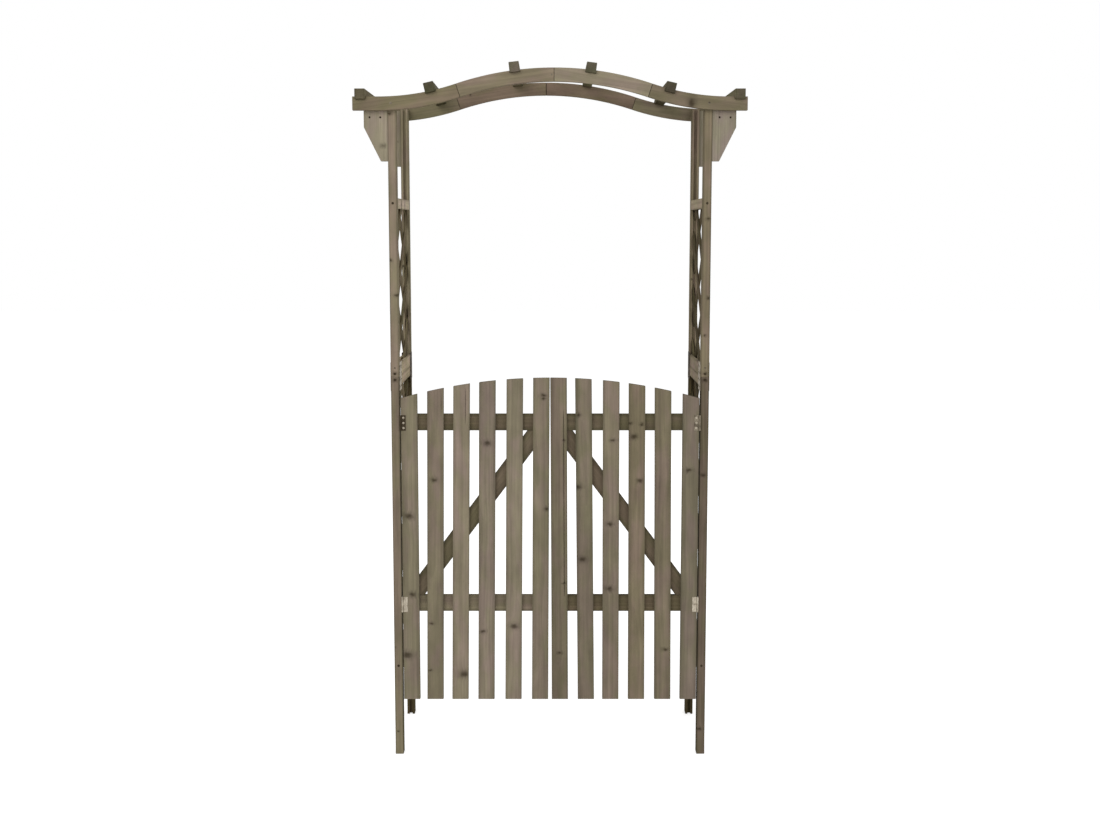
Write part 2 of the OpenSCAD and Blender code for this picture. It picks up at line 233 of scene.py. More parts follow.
class MaterialSketch(NodeSketch):
    """Short-hand for drawing a new material."""

    def __init__(self, name: str) -> None:
        """Starts a material with an empty tree.

        Args:
            name: Name of the material.
        """
        self.material = bpy.data.materials.new(name)
        self.material.use_nodes = True
        super().__init__(self.material.node_tree)
        self.tree.nodes.clear()

    def surfaced(self, surface: Socket) -> bpy.types.Material:
        """Ends the material with its surface."""
        self.feed(self.node("OutputMaterial"), {"Surface": surface})
        return self.material

    def attribute(self, mark: Mark, output: str = "Vector") -> Socket:
        """Reads a mesh attribute."""
        return self.node("Attribute", attribute_name=mark.value).outputs[output]

    def vector(self, operation: str, *terms: object) -> Socket:
        """Adds a Vector Math node over one or two vectors."""
        made = self.node("VectorMath", operation=operation)
        return self.feed(made, dict(enumerate(terms))).outputs["Vector"]

    def scale(self, vector: object, factor: object) -> Socket:
        """Multiplies a vector by a number."""
        made = self.node("VectorMath", operation="SCALE")
        return self.feed(made, {0: vector, "Scale": factor}).outputs["Vector"]

    def length(self, vector: object) -> Socket:
        """Gives the length of a vector."""
        return self.feed(self.node("VectorMath", operation="LENGTH"), {0: vector}).outputs["Value"]

    def split(self, vector: Socket) -> tuple[Socket, ...]:
        """Gives the three parts of a vector."""
        return tuple(self.feed(self.node("SeparateXYZ"), {0: vector}).outputs)

    def join(self, x: object, y: object, z: object) -> Socket:
        """Makes a vector from three numbers."""
        return self.feed(self.node("CombineXYZ"), {0: x, 1: y, 2: z}).outputs[0]

    def noise(self, place: Socket, stretch: Sequence[float], detail: float = 2.0) -> bpy.types.Node:
        """Adds a noise texture over a stretched place, with outputs from 0 to 1."""
        stretched = self.vector("MULTIPLY", place, stretch)
        return self.feed(self.node("TexNoise"), {"Vector": stretched, "Scale": 1.0, "Detail": detail})

    def ramp(self, value: object, low: float, high: float, start: float = 0.0, end: float = 1.0) -> Socket:
        """Maps a range of values smoothly to another, and holds its ends.

        Args:
            value: The value.
            low: Where the ramp begins.
            high: Where it stops.
            start: What it gives up to its beginning.
            end: What it gives from its stop on.

        Returns:
            The mapped value.
        """
        made = self.node("MapRange", interpolation_type="SMOOTHSTEP")
        limits = {"From Min": low, "From Max": high, "To Min": start, "To Max": end}
        return self.feed(made, {"Value": value, **limits}).outputs["Result"]

    def shaded(self, share: object, shade: float) -> Socket:
        """Turns a share of 0 to 1 into a factor from 1 to the shade."""
        return self.ramp(share, 0.0, 1.0, 1.0, shade)

    def swing(self, wave: object, contrast: float) -> Socket:
        """Turns a wave of 0 to 1 into a factor of 1 - contrast to 1 + contrast."""
        return self.math("MULTIPLY_ADD", wave, 2 * contrast, 1 - contrast)

    def blend(self, share: object, under: object, over: object) -> Socket:
        """Mixes two colours.

        Args:
            share: How much of the upper colour shows.
            under: The lower colour, a socket or three numbers.
            over: The upper colour, likewise.

        Returns:
            The mixed colour.
        """
        values = {"Factor": share}
        for name, colour in (("A", under), ("B", over)):
            values[name] = (*colour, 1.0) if isinstance(colour, tuple) else colour
        return self.feed(self.node("Mix", data_type="RGBA"), values).outputs["Result"]

    def bump(self, height: Socket, depth: float, strength: float) -> Socket:
        """Gives the normals of a height of 0 to 1 that stands for a depth in metres."""
        values = {"Height": height, "Distance": depth, "Strength": strength}
        return self.feed(self.node("Bump"), values).outputs["Normal"]

    def principled(self, colour: Socket, roughness: Socket, normal: Socket,
                   specular: float, metallic: float = 0.0) -> bpy.types.Material:
        """Ends the material with a Principled shader.

        Args:
            colour: Base colour.
            roughness: Roughness from 0 to 1.
            normal: Normals of the fine relief.
            specular: Specular level.
            metallic: Share of metal.

        Returns:
            The material.
        """
        values = {
            "Base Color": colour, "Roughness": roughness, "Normal": normal,
            "Specular IOR Level": specular, "Metallic": metallic,
        }
        return self.surfaced(self.feed(self.node("BsdfPrincipled"), values).outputs["BSDF"])


# ---- Finishes ----


@dataclass(frozen=True)
class WoodFinish:
    """Grey-brown stained softwood, with its grain along each board.

    The contrasts are the shares by which each pattern lightens and darkens the stain, and the shades
    are the brightness left at the darkest spots.
    """

    name: str
    stain: Colour
    band_contrast: float = 0.30
    mottle_contrast: float = 0.26
    blotch_contrast: float = 0.20
    fibre_contrast: float = 0.18
    ring_contrast: float = 0.07
    ring_width: float = 0.0052
    ring_rise: tuple[float, float] = (0.15, 0.92)
    gain: Colour = (1.20, 1.17, 1.14)
    seed_shift: tuple[float, float, float] = (0.73, 0.31, 0.59)
    rose_rise: tuple[float, float] = (0.60, 0.92)
    olive: Colour = (0.955, 1.0, 0.90)
    rose: Colour = (1.05, 1.0, 1.055)
    streak_contrast: float = 0.14
    edge_shade: float = 0.86
    halo_shade: float = 0.80
    # Brightness left by the painted shade along the sharp edges.
    arris_shade: float = 0.88
    arris_width: float = 0.0045
    knot_stain: Colour = (58, 49, 36)
    knot_share: float = 0.76
    knot_shape: tuple[float, float, float] = (1.25, 0.8, 0.0)
    core_reach: tuple[float, float] = (0.2, 1.7)
    halo_reach: tuple[float, float] = (0.6, 3.6)
    knot_wobble: float = 0.010
    knot_swirl: float = 0.006
    grain_sway: float = 0.016
    end_shade: float = 0.66
    seam_shade: float = 0.35
    roughness: float = 0.76
    roughness_swing: float = 0.08
    relief: float = 0.00035
    relief_strength: float = 0.55
    specular: float = 0.01

    @property
    def slot(self) -> str:
        """Name of a material slot for the finish, which nothing in this script reads."""
        return self.name

    def knot_fields(self, sketch: MaterialSketch, place: Socket) -> tuple[Socket, Socket]:
        """Measures how near each point lies to the knots of its board.

        Args:
            sketch: The material being drawn.
            place: The point in the board's own measures.

        Returns:
            The knots' dark cores and their wide halos, both from 0 to 1.
        """
        wobble = sketch.noise(place, Pattern.WOBBLE.value).outputs["Color"]
        wobble = sketch.vector("SUBTRACT", wobble, (0.5, 0.5, 0.5))
        bent = sketch.vector("ADD", place, sketch.scale(wobble, self.knot_wobble))
        cores, halos = [], []
        for mark in KNOT_MARKS:
            along, across, radius = sketch.split(sketch.attribute(mark))
            offset = sketch.vector("SUBTRACT", bent, sketch.join(along, across, 0.0))
            reach = sketch.length(sketch.vector("MULTIPLY", offset, self.knot_shape))
            spread = sketch.math("DIVIDE", reach, sketch.math("MAXIMUM", radius, 0.0001))
            cores.append(sketch.ramp(spread, *self.core_reach, 1.0, 0.0))
            halos.append(sketch.ramp(spread, *self.halo_reach, 1.0, 0.0))
        return tuple(reduce(lambda a, b: sketch.math("MAXIMUM", a, b), near) for near in (cores, halos))

    def edge_fields(self, sketch: MaterialSketch, place: Socket) -> tuple[Socket, Socket]:
        """Finds the long edges of a board.

        Args:
            sketch: The material being drawn.
            place: The point in the board's own measures.

        Returns:
            1 on the sharp edges and 0 from a few millimetres in, and 1 beside the edges of the broad
            faces and 0 over their middle.
        """
        half = sketch.attribute(Mark.HALF)
        reach = sketch.vector("ABSOLUTE", place)
        _, across, through = sketch.split(sketch.vector("SUBTRACT", half, reach))
        inward = sketch.math("MAXIMUM", across, through)
        _, share, _ = sketch.split(sketch.vector("DIVIDE", reach, half))
        return sketch.ramp(inward, 0.0005, self.arris_width, 1.0, 0.0), sketch.ramp(share, 0.45, 1.0)

    def ring_field(self, sketch: MaterialSketch, grain: Socket, seed: Socket) -> Socket:
        """Draws growth rings round a pith that runs along the board, beside or inside it.

        Args:
            sketch: The material being drawn.
            grain: The point in the board's own measures, swayed by the grain.
            seed: The board's own number.

        Returns:
            0 to 1 across each ring, from early to late wood.
        """
        pith = sketch.feed(sketch.node("TexWhiteNoise", noise_dimensions="1D"), {"W": seed})
        pith_across, pith_through, _ = sketch.split(pith.outputs["Color"])
        _, across, through = sketch.split(grain)
        across = sketch.math("ADD", across, sketch.math("MULTIPLY_ADD", pith_across, 0.06, -0.03))
        through = sketch.math("ADD", through, sketch.math("MULTIPLY_ADD", pith_through, 0.05, 0.02))
        age = sketch.math("DIVIDE", sketch.length(sketch.join(0.0, across, through)), self.ring_width)
        return sketch.ramp(sketch.math("FRACT", age), *self.ring_rise)

    def material(self) -> bpy.types.Material:
        """Draws the finish.

        Returns:
            The material, which reads the marks of the board that it lies on.
        """
        sketch = MaterialSketch(self.name)
        place = sketch.attribute(Mark.PLACE)
        seed = sketch.attribute(Mark.SEED, "Fac")
        core, halo = self.knot_fields(sketch, place)

        shift = sketch.scale(self.seed_shift, seed)
        warp = sketch.noise(sketch.vector("ADD", place, shift), Pattern.WARP.value).outputs["Color"]
        sway = sketch.vector("MULTIPLY", warp, (0.0, self.grain_sway, self.grain_sway))
        swirl = sketch.join(0.0, sketch.math("MULTIPLY", halo, self.knot_swirl), 0.0)
        grain = sketch.vector("ADD", sketch.vector("ADD", place, sway), swirl)
        moved = sketch.vector("ADD", grain, shift)

        blotch = sketch.noise(moved, Pattern.BLOTCH.value).outputs["Color"]
        mottle = sketch.noise(moved, Pattern.MOTTLE.value, 3.0).outputs["Color"]
        band = sketch.noise(moved, Pattern.BAND.value).outputs["Fac"]
        streak = sketch.noise(moved, Pattern.STREAK.value, 3.0).outputs["Fac"]
        fibre = sketch.noise(moved, Pattern.FIBRE.value).outputs["Fac"]
        long_tint, long_shade, _ = sketch.split(blotch)
        spot_tint, spot_shade, _ = sketch.split(mottle)
        ring = self.ring_field(sketch, grain, seed)
        arris, edge = self.edge_fields(sketch, place)
        end = sketch.attribute(Mark.END, "Fac")

        shade = sketch.product(
            sketch.swing(band, self.band_contrast),
            sketch.swing(spot_shade, self.mottle_contrast),
            sketch.swing(long_shade, self.blotch_contrast),
            sketch.swing(streak, self.streak_contrast),
            sketch.swing(fibre, self.fibre_contrast),
            sketch.ramp(ring, 0, 1, 1 + self.ring_contrast / 3, 1 - self.ring_contrast),
            sketch.shaded(halo, self.halo_shade),
            # Painted shade: the sharp edges are darkened a few millimetres in, for the shade on the edge
            # faces.
            sketch.shaded(arris, self.arris_shade),
            sketch.shaded(edge, self.edge_shade),
            sketch.shaded(end, self.end_shade),
            sketch.ramp(end, 1, 2, 1.0, self.seam_shade),
        )
        base = tinted(linear(self.stain), self.gain)
        tint = sketch.math("MULTIPLY_ADD", edge, -0.09, spot_tint)
        tint = sketch.ramp(sketch.math("MULTIPLY_ADD", long_tint, 0.55, tint), *self.rose_rise)
        colour = sketch.blend(tint, tinted(base, self.olive), tinted(base, self.rose))
        colour = sketch.scale(sketch.vector("MULTIPLY", colour, sketch.attribute(Mark.TONE)), shade)
        knot_share = sketch.math("MULTIPLY", core, self.knot_share)
        colour = sketch.blend(knot_share, colour, linear(self.knot_stain))

        low_roughness = self.roughness - self.roughness_swing
        rough = sketch.math("MULTIPLY_ADD", fibre, 2 * self.roughness_swing, low_roughness)
        ridges = sketch.math("MULTIPLY_ADD", ring, 0.30, sketch.math("MULTIPLY", fibre, 0.9))
        height = sketch.math("SUBTRACT", ridges, sketch.math("MULTIPLY", core, 0.35))
        normal = sketch.bump(height, self.relief, self.relief_strength)
        return sketch.principled(colour, rough, normal, self.specular)


@dataclass(frozen=True)
class ZincFinish:
    """Zinc on pressed steel, with soft spangle, fine scratches and tarnish."""

    name: str
    bright: Colour
    tarnish: Colour
    tarnish_share: float = 0.3
    metallic: float = 0.6
    roughness: float = 0.42
    specular: float = 0.5
    spangles: float = 260.0
    spangle_contrast: float = 0.09
    relief: float = 0.00005
    relief_strength: float = 0.4

    @property
    def slot(self) -> str:
        """Name of a material slot for the finish, which nothing in this script reads."""
        return "zinc_steel"

    def material(self) -> bpy.types.Material:
        """Draws the finish on the piece's own coordinates.

        Returns:
            The material.
        """
        sketch = MaterialSketch(self.name)
        place = sketch.node("TexCoord").outputs["Object"]
        spangle = sketch.feed(sketch.node("TexVoronoi"), {"Vector": place, "Scale": self.spangles})
        cloud = sketch.noise(place, (60, 60, 60), 3.0).outputs["Fac"]
        scratch = sketch.noise(place, (900, 900, 70), 1.0).outputs["Fac"]
        middle = 0.68 - 0.36 * self.tarnish_share
        share = sketch.ramp(cloud, middle - 0.25, middle + 0.25)
        colour = sketch.blend(share, linear(self.bright), linear(self.tarnish))
        cell, _, _ = sketch.split(spangle.outputs["Color"])
        colour = sketch.scale(colour, sketch.swing(cell, self.spangle_contrast))
        rough = sketch.math("MULTIPLY_ADD", share, 0.25, self.roughness)
        rough = sketch.math("MULTIPLY_ADD", scratch, 0.1, rough)
        normal = sketch.bump(scratch, self.relief, self.relief_strength)
        return sketch.principled(colour, rough, normal, self.specular, self.metallic)


Finish = WoodFinish | ZincFinish

FRAME_WOOD = WoodFinish("frame_wood", (120, 110, 94), streak_contrast=0.24, gain=(1.27, 1.23, 1.20))
LATTICE_WOOD = WoodFinish("lattice_wood", (108, 98, 79), fibre_contrast=0.24)
BRACKET_WOOD = WoodFinish(
    "bracket_wood", (145, 135, 122), 0.20, gain=(1.235, 1.21, 1.21), edge_shade=0.94, knot_share=0.40,
)
BATTEN_WOOD = WoodFinish("batten_wood", (116, 108, 88), end_shade=0.58)
BEAM_WOOD = WoodFinish("beam_wood", (124, 113, 96), band_contrast=0.22, gain=(1.24, 1.22, 1.20))
PICKET_WOOD = WoodFinish("picket_wood", (120, 110, 94), gain=(1.34, 1.32, 1.355))
GATE_RAIL_WOOD = WoodFinish("gate_rail_wood", (104, 96, 78))
BRIGHT_ZINC = ZincFinish("bright_zinc", (190, 180, 162), (140, 128, 110))
# Lighter zinc for the gate-side joint plates: painted light.
PAINTED_LIT_ZINC = ZincFinish("clean_zinc", (156, 146, 128), (118, 107, 89), tarnish_share=0.45, roughness=0.5)
WORN_ZINC = ZincFinish("worn_zinc", (142, 132, 114), (84, 74, 58), tarnish_share=0.5, roughness=0.5)
DARK_ZINC = ZincFinish("dark_zinc", (70, 60, 44), (48, 39, 26), metallic=0.0, roughness=0.62, specular=0.15)


# ---- Mesh building ----


@dataclass(frozen=True)
class Knot:
    """A knot, by its middle in the frame of the arch and its radius."""

    x: float
    y: float
    z: float
    radius: float

    @property
    def middle(self) -> Vector:
        """The knot's middle."""
        return Vector((self.x, self.y, self.z))


def mesh_of(bm: bmesh.types.BMesh, name: str) -> bpy.types.Mesh:
    """Turns a bmesh, which is used up, into a mesh.

    Args:
        bm: The bmesh.
        name: Name of the mesh.

    Returns:
        The mesh.
    """
    mesh = bpy.data.meshes.new(name)
    bm.to_mesh(mesh)
    bm.free()
    return mesh


def add_object(name: str, data: bpy.types.ID) -> bpy.types.Object:
    """Puts a new object in the scene.

    Args:
        name: Its name.
        data: Its mesh, light or camera.

    Returns:
        The object.
    """
    made = bpy.data.objects.new(name, data)
    bpy.context.scene.collection.objects.link(made)
    return made


def slice_faces(bm: bmesh.types.BMesh, faces: Sequence[bmesh.types.BMFace], place: Vector,
                normal: Vector) -> list[bmesh.types.BMFace]:
    """Cuts some faces along a plane.

    Args:
        bm: Their mesh.
        faces: The faces.
        place: A point of the plane.
        normal: The plane's normal.

    Returns:
        What the faces have become.
    """
    parts = [*faces, *(e for f in faces for e in f.edges), *(v for f in faces for v in f.verts)]
    cut = bmesh.ops.bisect_plane(bm, geom=list(dict.fromkeys(parts)), plane_co=place, plane_no=normal)
    return [g for g in cut["geom"] if isinstance(g, bmesh.types.BMFace)]


def sink_faces(bm: bmesh.types.BMesh, faces: Sequence[bmesh.types.BMFace], step: Vector) -> Verts:
    """Sinks a region of faces into a mesh.

    Args:
        bm: The mesh.
        faces: The faces.
        step: How far they go.

    Returns:
        The vertices of the sunk floor.
    """
    sunk = bmesh.ops.extrude_face_region(bm, geom=faces)["geom"]
    floor = [g for g in sunk if isinstance(g, bmesh.types.BMVert)]
    bmesh.ops.delete(bm, geom=faces, context="FACES")
    bmesh.ops.translate(bm, verts=floor, vec=step)
    return floor


def solids(bm: bmesh.types.BMesh) -> list[Verts]:
    """Finds the separate solids of a mesh.

    Args:
        bm: The mesh.

    Returns:
        The vertices of each solid.
    """
    left = set(bm.verts)
    found = []
    for start in bm.verts:
        if start not in left:
            continue
        left.discard(start)
        group = [start]
        for vert in group:
            for edge in vert.link_edges:
                other = edge.other_vert(vert)
                if other in left:
                    left.discard(other)
                    group.append(other)
        found.append(group)
    return found


def box_of(verts: Verts) -> Box:
    """Gives the lowest and highest corner of the box round some vertices."""
    places = [vert.co for vert in verts]
    return tuple(Vector(pick(p[i] for p in places) for i in range(3)) for pick in (min, max))


def middle_of(box: Box) -> Vector:
    """Gives the middle of a box."""
    return (box[0] + box[1]) / 2


def longest_edge(verts: Iterable[bmesh.types.BMVert]) -> Vector:
    """Gives the way of the longest edge between some vertices.

    Args:
        verts: The vertices.

    Returns:
        The way from end to end, to the right, the back and up rather than against them.
    """
    longest = max((e for v in verts for e in v.link_edges), key=lambda edge: edge.calc_length())
    way = longest.verts[1].co - longest.verts[0].co
    return way if sum(way) > 0 else -way


def ease_edges(bm: bmesh.types.BMesh, radius: float, segments: int = 2) -> None:
    """Rounds the outward edges of a mesh a little.

    Args:
        bm: The mesh, with flat faces in one piece.
        radius: How far the rounding reaches from an edge.
        segments: Number of steps in the rounding.
    """
    sharp = [e for e in bm.edges if e.is_manifold and e.is_convex and e.calc_face_angle() > SHARP_ANGLE]
    bmesh.ops.bevel(
        bm, geom=sharp, offset=radius, offset_type="OFFSET", segments=segments,
        profile=0.5, affect="EDGES", clamp_overlap=True, material=-1,
    )


@dataclass(frozen=True)
class Crack:
    """A drying crack down the front of an upright board.

    Attributes:
        x: Where it lies across the arch, at its middle height.
        foot: Height of its lower end.
        head: Height of its upper end.
        width: Its width, but for its ends.
        depth: How deep it is.
        taper: Length of each end, over which it narrows.
        tip: Share of its width left at its ends.
    """

    x: float
    foot: float
    head: float
    width: float
    depth: float = 0.004
    taper: float = 0.03
    tip: float = 0.2

    def cut(self, bm: bmesh.types.BMesh) -> None:
        """Cuts the crack into the board that it lies on.

        Args:
            bm: Loose upright boards, which look to the front.
        """
        fronts = [face for face in bm.faces if face.normal.y < -SQUARE_ON]
        board = min(fronts, key=lambda face: abs(face.calc_center_median().x - self.x))
        along = longest_edge(board.verts).normalized()
        across = along.cross(BACKWARD).normalized()
        middle = Vector((self.x, board.calc_center_median().y, (self.foot + self.head) / 2))
        half_length, half_width = (self.head - self.foot) / 2, self.width / 2
        faces = [board]
        for way, reach in ((across, half_width), (along, half_length), (along, half_length - self.taper)):
            for sign in (-1, 1):
                faces = slice_faces(bm, faces, middle + way * reach * sign, way)

        def reaches(place: Vector) -> tuple[float, float]:
            """Gives how far a point lies from the crack's middle, along and across."""
            return abs((place - middle).dot(along)), abs((place - middle).dot(across))

        opened = []
        for face in faces:
            up, aside = reaches(face.calc_center_median())
            if up < half_length and aside < half_width:
                opened.append(face)
        rim = {vert for face in opened for vert in face.verts}
        for vert in (*rim, *sink_faces(bm, opened, BACKWARD * self.depth)):
            if reaches(vert.co)[0] > half_length - self.taper / 2:
                vert.co -= across * (vert.co - middle).dot(across) * (1 - self.tip)


@dataclass(frozen=True)
class Board:
    """How one board lies, and how it differs from its finish.

    Attributes:
        stain: Its own colour, where it differs from the finish; on some boards it also holds painted light
            and shade.
        along: Way of the grain; the longest edge where none is given.
        seam_x: Ends nearer than this to the middle of the arch are dark seams.
        curved: True for a board whose long edges are not straight.
        grimy: Way that its faces in painted shade look, where it has any.
        grime: Brightness that the painted shade leaves on them.
        turned: True for a board laid end for end.
    """

    stain: Colour | None = None
    along: Vector | None = None
    seam_x: float = 0.0
    curved: bool = False
    grimy: Vector | None = None
    grime: float = 0.35
    turned: bool = False


@dataclass(frozen=True)
class Scatter:
    """Small knots scattered by chance, of radii in a range."""

    chance: float
    smallest: float
    largest: float


@dataclass
class Workshop:
    """Turns bmeshes into finished pieces that ride on the frame.

    Attributes:
        nodes: CAD objects by the names of their nodes.
        bodies: The body of each node.
        dice: Seeded source of chance.
        depth_bias: Below 1, so that the broad faces of a nearly square board look to the front.
        curve_spare: Added to the half width of a curved board, which has no edge shade.
        grime_tint: Warm tint of the faces in painted shade.
        drawn: Materials drawn so far.
        pieces: Number of pieces made so far.
    """

    nodes: dict[str, bpy.types.Object]
    bodies: dict[str, str]
    dice: random.Random
    depth_bias: float = 0.8
    curve_spare: float = 1.0
    grime_tint: Colour = (1.0, 0.97, 0.78)
    drawn: dict[str, bpy.types.Material] = field(default_factory=dict)
    pieces: int = 0

    def cad_copy(self, node: str) -> bmesh.types.BMesh:
        """Copies a CAD node's mesh.

        Args:
            node: Name of the node.

        Returns:
            The copy, with its doubles merged and its flat faces in one piece.
        """
        bm = bmesh.new()
        bm.from_mesh(self.nodes[node].data)
        bmesh.ops.remove_doubles(bm, verts=bm.verts, dist=MERGE_DISTANCE)
        bmesh.ops.dissolve_limit(
            bm, angle_limit=FLAT_ANGLE, verts=bm.verts, edges=bm.edges,
            use_dissolve_boundaries=False, delimit=set(),
        )
        return bm

    def solid_boxes(self, node: str) -> list[Box]:
        """Measures the solids of a CAD node.

        Args:
            node: Name of the node.

        Returns:
            The box of each solid, from the lowest to the highest.
        """
        bm = self.cad_copy(node)
        boxes = sorted((box_of(group) for group in solids(bm)), key=lambda box: box[0].z)
        bm.free()
        return boxes

    def scatter(self, node: str, spread: Scatter) -> list[Knot]:
        """Scatters up to four small knots over a CAD node.

        Args:
            node: Name of the node.
            spread: How likely and large they are.

        Returns:
            The knots.
        """
        found = []
        for _ in KNOT_MARKS:
            middle = [self.dice.uniform(low, high) for low, high in zip(*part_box(node))]
            radius = self.dice.uniform(spread.smallest, spread.largest)
            if self.dice.random() < spread.chance:
                found.append(Knot(*middle, radius))
        return found

    def mark_board(self, verts: Verts, board: Board, knots: Iterable[Knot], finish: WoodFinish,
                   layers: dict[Mark, bmesh.types.BMLayerItem]) -> None:
        """Writes a board's own measures on its vertices and faces.

        Args:
            verts: The board's vertices.
            board: How the board differs from its finish.
            knots: Every knot of the piece; the board takes those that lie on it.
            finish: The wood's finish.
            layers: The attribute layers of the mesh.
        """
        along = (board.along or longest_edge(verts)).normalized() * (-1 if board.turned else 1)
        low, high = box_of(verts)
        extents = zip(high - low, (1.0, self.depth_bias, 1.0), (RIGHTWARD, BACKWARD, UP))
        thin = min(extents, key=lambda extent: extent[0] * extent[1])[2]
        across = along.cross(thin).normalized()
        turn = Matrix((along, across, along.cross(across)))
        middle = middle_of((low, high))
        places = {vert: turn @ (vert.co - middle) for vert in verts}
        half = Vector(max(abs(p[i]) for p in places.values()) for i in range(3))
        local = [(turn @ (knot.middle - middle), knot.radius) for knot in knots]
        own = [
            Vector((at.x, at.y, radius)) for at, radius in local
            if abs(at.x) < half.x and abs(at.y) < half.y + radius / 2
        ]
        own = (own + [Vector()] * len(KNOT_MARKS))[:len(KNOT_MARKS)]
        if board.curved:
            half.y += self.curve_spare
        tone = Vector(t / b for t, b in zip(linear(board.stain or finish.stain), linear(finish.stain)))
        same = {Mark.HALF: half, Mark.SEED: self.dice.uniform(0.0, 10.0), **dict(zip(KNOT_MARKS, own))}
        for vert, place in places.items():
            vert[layers[Mark.PLACE]] = place
        for face in {f for v in verts for f in v.link_faces}:
            facing_end = abs(face.normal.dot(along))
            is_seam = facing_end > SEAM_ON and abs(face.calc_center_median().x) < board.seam_x
            # Faces turned the board's shaded way get painted shade: a darker, warmer tone for the shade
            # that falls on them.
            in_painted_shade = board.grimy is not None and face.normal.dot(board.grimy) > PAINTED_SHADE_ON
            face[layers[Mark.TONE]] = tone * Vector(self.grime_tint) * board.grime if in_painted_shade else tone
            face[layers[Mark.END]] = 2.0 if is_seam else float(facing_end > END_ON)
            for mark, value in same.items():
                face[layers[mark]] = value

    def wooden_piece(self, node: str, word: str, finish: WoodFinish, boards: Sequence[Board],
                     knots: Iterable[Knot] = (), easing: float = 0.0012,
                     order: Callable[[Vector], float] = lambda middle: middle.z,
                     cracks: Iterable[Crack] = (), bm: bmesh.types.BMesh | None = None) -> None:
        """Eases, marks and finishes loose boards.

        Args:
            node: The CAD node that the piece stands for.
            word: What the piece's name says after the node's.
            finish: The wood's finish.
            boards: How each board differs, in order, and over again where there are fewer.
            knots: The knots of all the boards.
            easing: How far the edges are rounded.
            order: Sorting value of the middle of a board.
            cracks: Its drying cracks.
            bm: The boards, which are used up; the node's own where none are given.
        """
        bm = self.cad_copy(node) if bm is None else bm
        ease_edges(bm, easing)
        bm.normal_update()
        for crack in cracks:
            crack.cut(bm)
        bm.normal_update()
        kinds = (
            (bm.verts.layers.float_vector, (Mark.PLACE,)),
            (bm.faces.layers.float_vector, (Mark.HALF, Mark.TONE, *KNOT_MARKS)),
            (bm.faces.layers.float, (Mark.SEED, Mark.END)),
        )
        for kind, marks in kinds:
            for mark in marks:
                kind.new(mark.value)
        layers = {mark: kind[mark.value] for kind, marks in kinds for mark in marks}
        groups = sorted(solids(bm), key=lambda group: order(middle_of(box_of(group))))
        for number, group in enumerate(groups):
            self.mark_board(group, boards[number % len(boards)], knots, finish, layers)
        self.finish_piece(bm, f"{node}_{word}", finish, self.bodies[node], node)

    def finish_piece(self, bm: bmesh.types.BMesh, name: str, finish: Finish, body: str,
                     replaced: str | None = None) -> None:
        """Makes a piece of the object, shaded smooth where it is of metal.

        Args:
            bm: The mesh, which is used up.
            name: Name of the piece.
            finish: What it is made of.
            body: The CAD body that it rides on.
            replaced: The CAD node that it stands for, if any.
        """
        piece = add_object(name, mesh_of(bm, name))
        if isinstance(finish, ZincFinish):
            piece.data.shade_smooth()
            piece.data.set_sharp_from_angle(angle=SMOOTH_ANGLE)
        if finish.name not in self.drawn:
            self.drawn[finish.name] = finish.material()
        piece.data.materials.append(self.drawn[finish.name])
        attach(piece, body)
        if replaced:
            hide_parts(replaced)
        self.pieces += 1
        LOG.info("%s: %d faces on %s", name, len(piece.data.polygons), body)


@dataclass(frozen=True)
class CrossScrew:
    """Countersunk screw head with a cross recess."""

    radius: float = 0.0038
    rise: float = 0.0005
    arm: float = 0.0024
    slot: float = 0.0010
    recess: float = 0.0016
    sides: int = 20
    top_share: float = 0.86
    floor_share: float = 0.55

    def mesh(self) -> bpy.types.Mesh:
        """Builds the head round the origin, facing +Z.

        Returns:
            A loose mesh to copy from.
        """
        bm = bmesh.new()
        bmesh.ops.create_cone(
            bm, cap_ends=True, segments=self.sides, radius1=self.radius,
            radius2=self.radius * self.top_share, depth=self.rise,
        )
        bmesh.ops.translate(bm, verts=bm.verts, vec=UP * self.rise / 2)
        top = [face for face in bm.faces if face.normal.z > SQUARE_ON]
        for axis in (RIGHTWARD, BACKWARD):
            for reach in (-self.arm, -self.slot / 2, self.slot / 2, self.arm):
                top = slice_faces(bm, top, axis * reach, axis)
        cross = []
        for face in top:
            near, far = sorted(abs(part) for part in face.calc_center_median().xy)
            if near < self.slot / 2 and far < self.arm:
                cross.append(face)
        floor = sink_faces(bm, cross, -UP * self.recess)
        bmesh.ops.scale(bm, verts=floor, vec=(self.floor_share, self.floor_share, 1.0))
        return mesh_of(bm, "cross_screw")


WOOD_SCREW = CrossScrew()
SMALL_SCREW = CrossScrew(radius=0.0029, arm=0.0018, slot=0.0008, recess=0.0011)
PLATE_SCREW = CrossScrew(radius=0.0034, arm=0.0019, slot=0.0008, recess=0.0011)
SUNK_SCREW = CrossScrew(radius=0.0027, rise=0.0015, arm=0.0016, slot=0.0007, recess=0.0011)


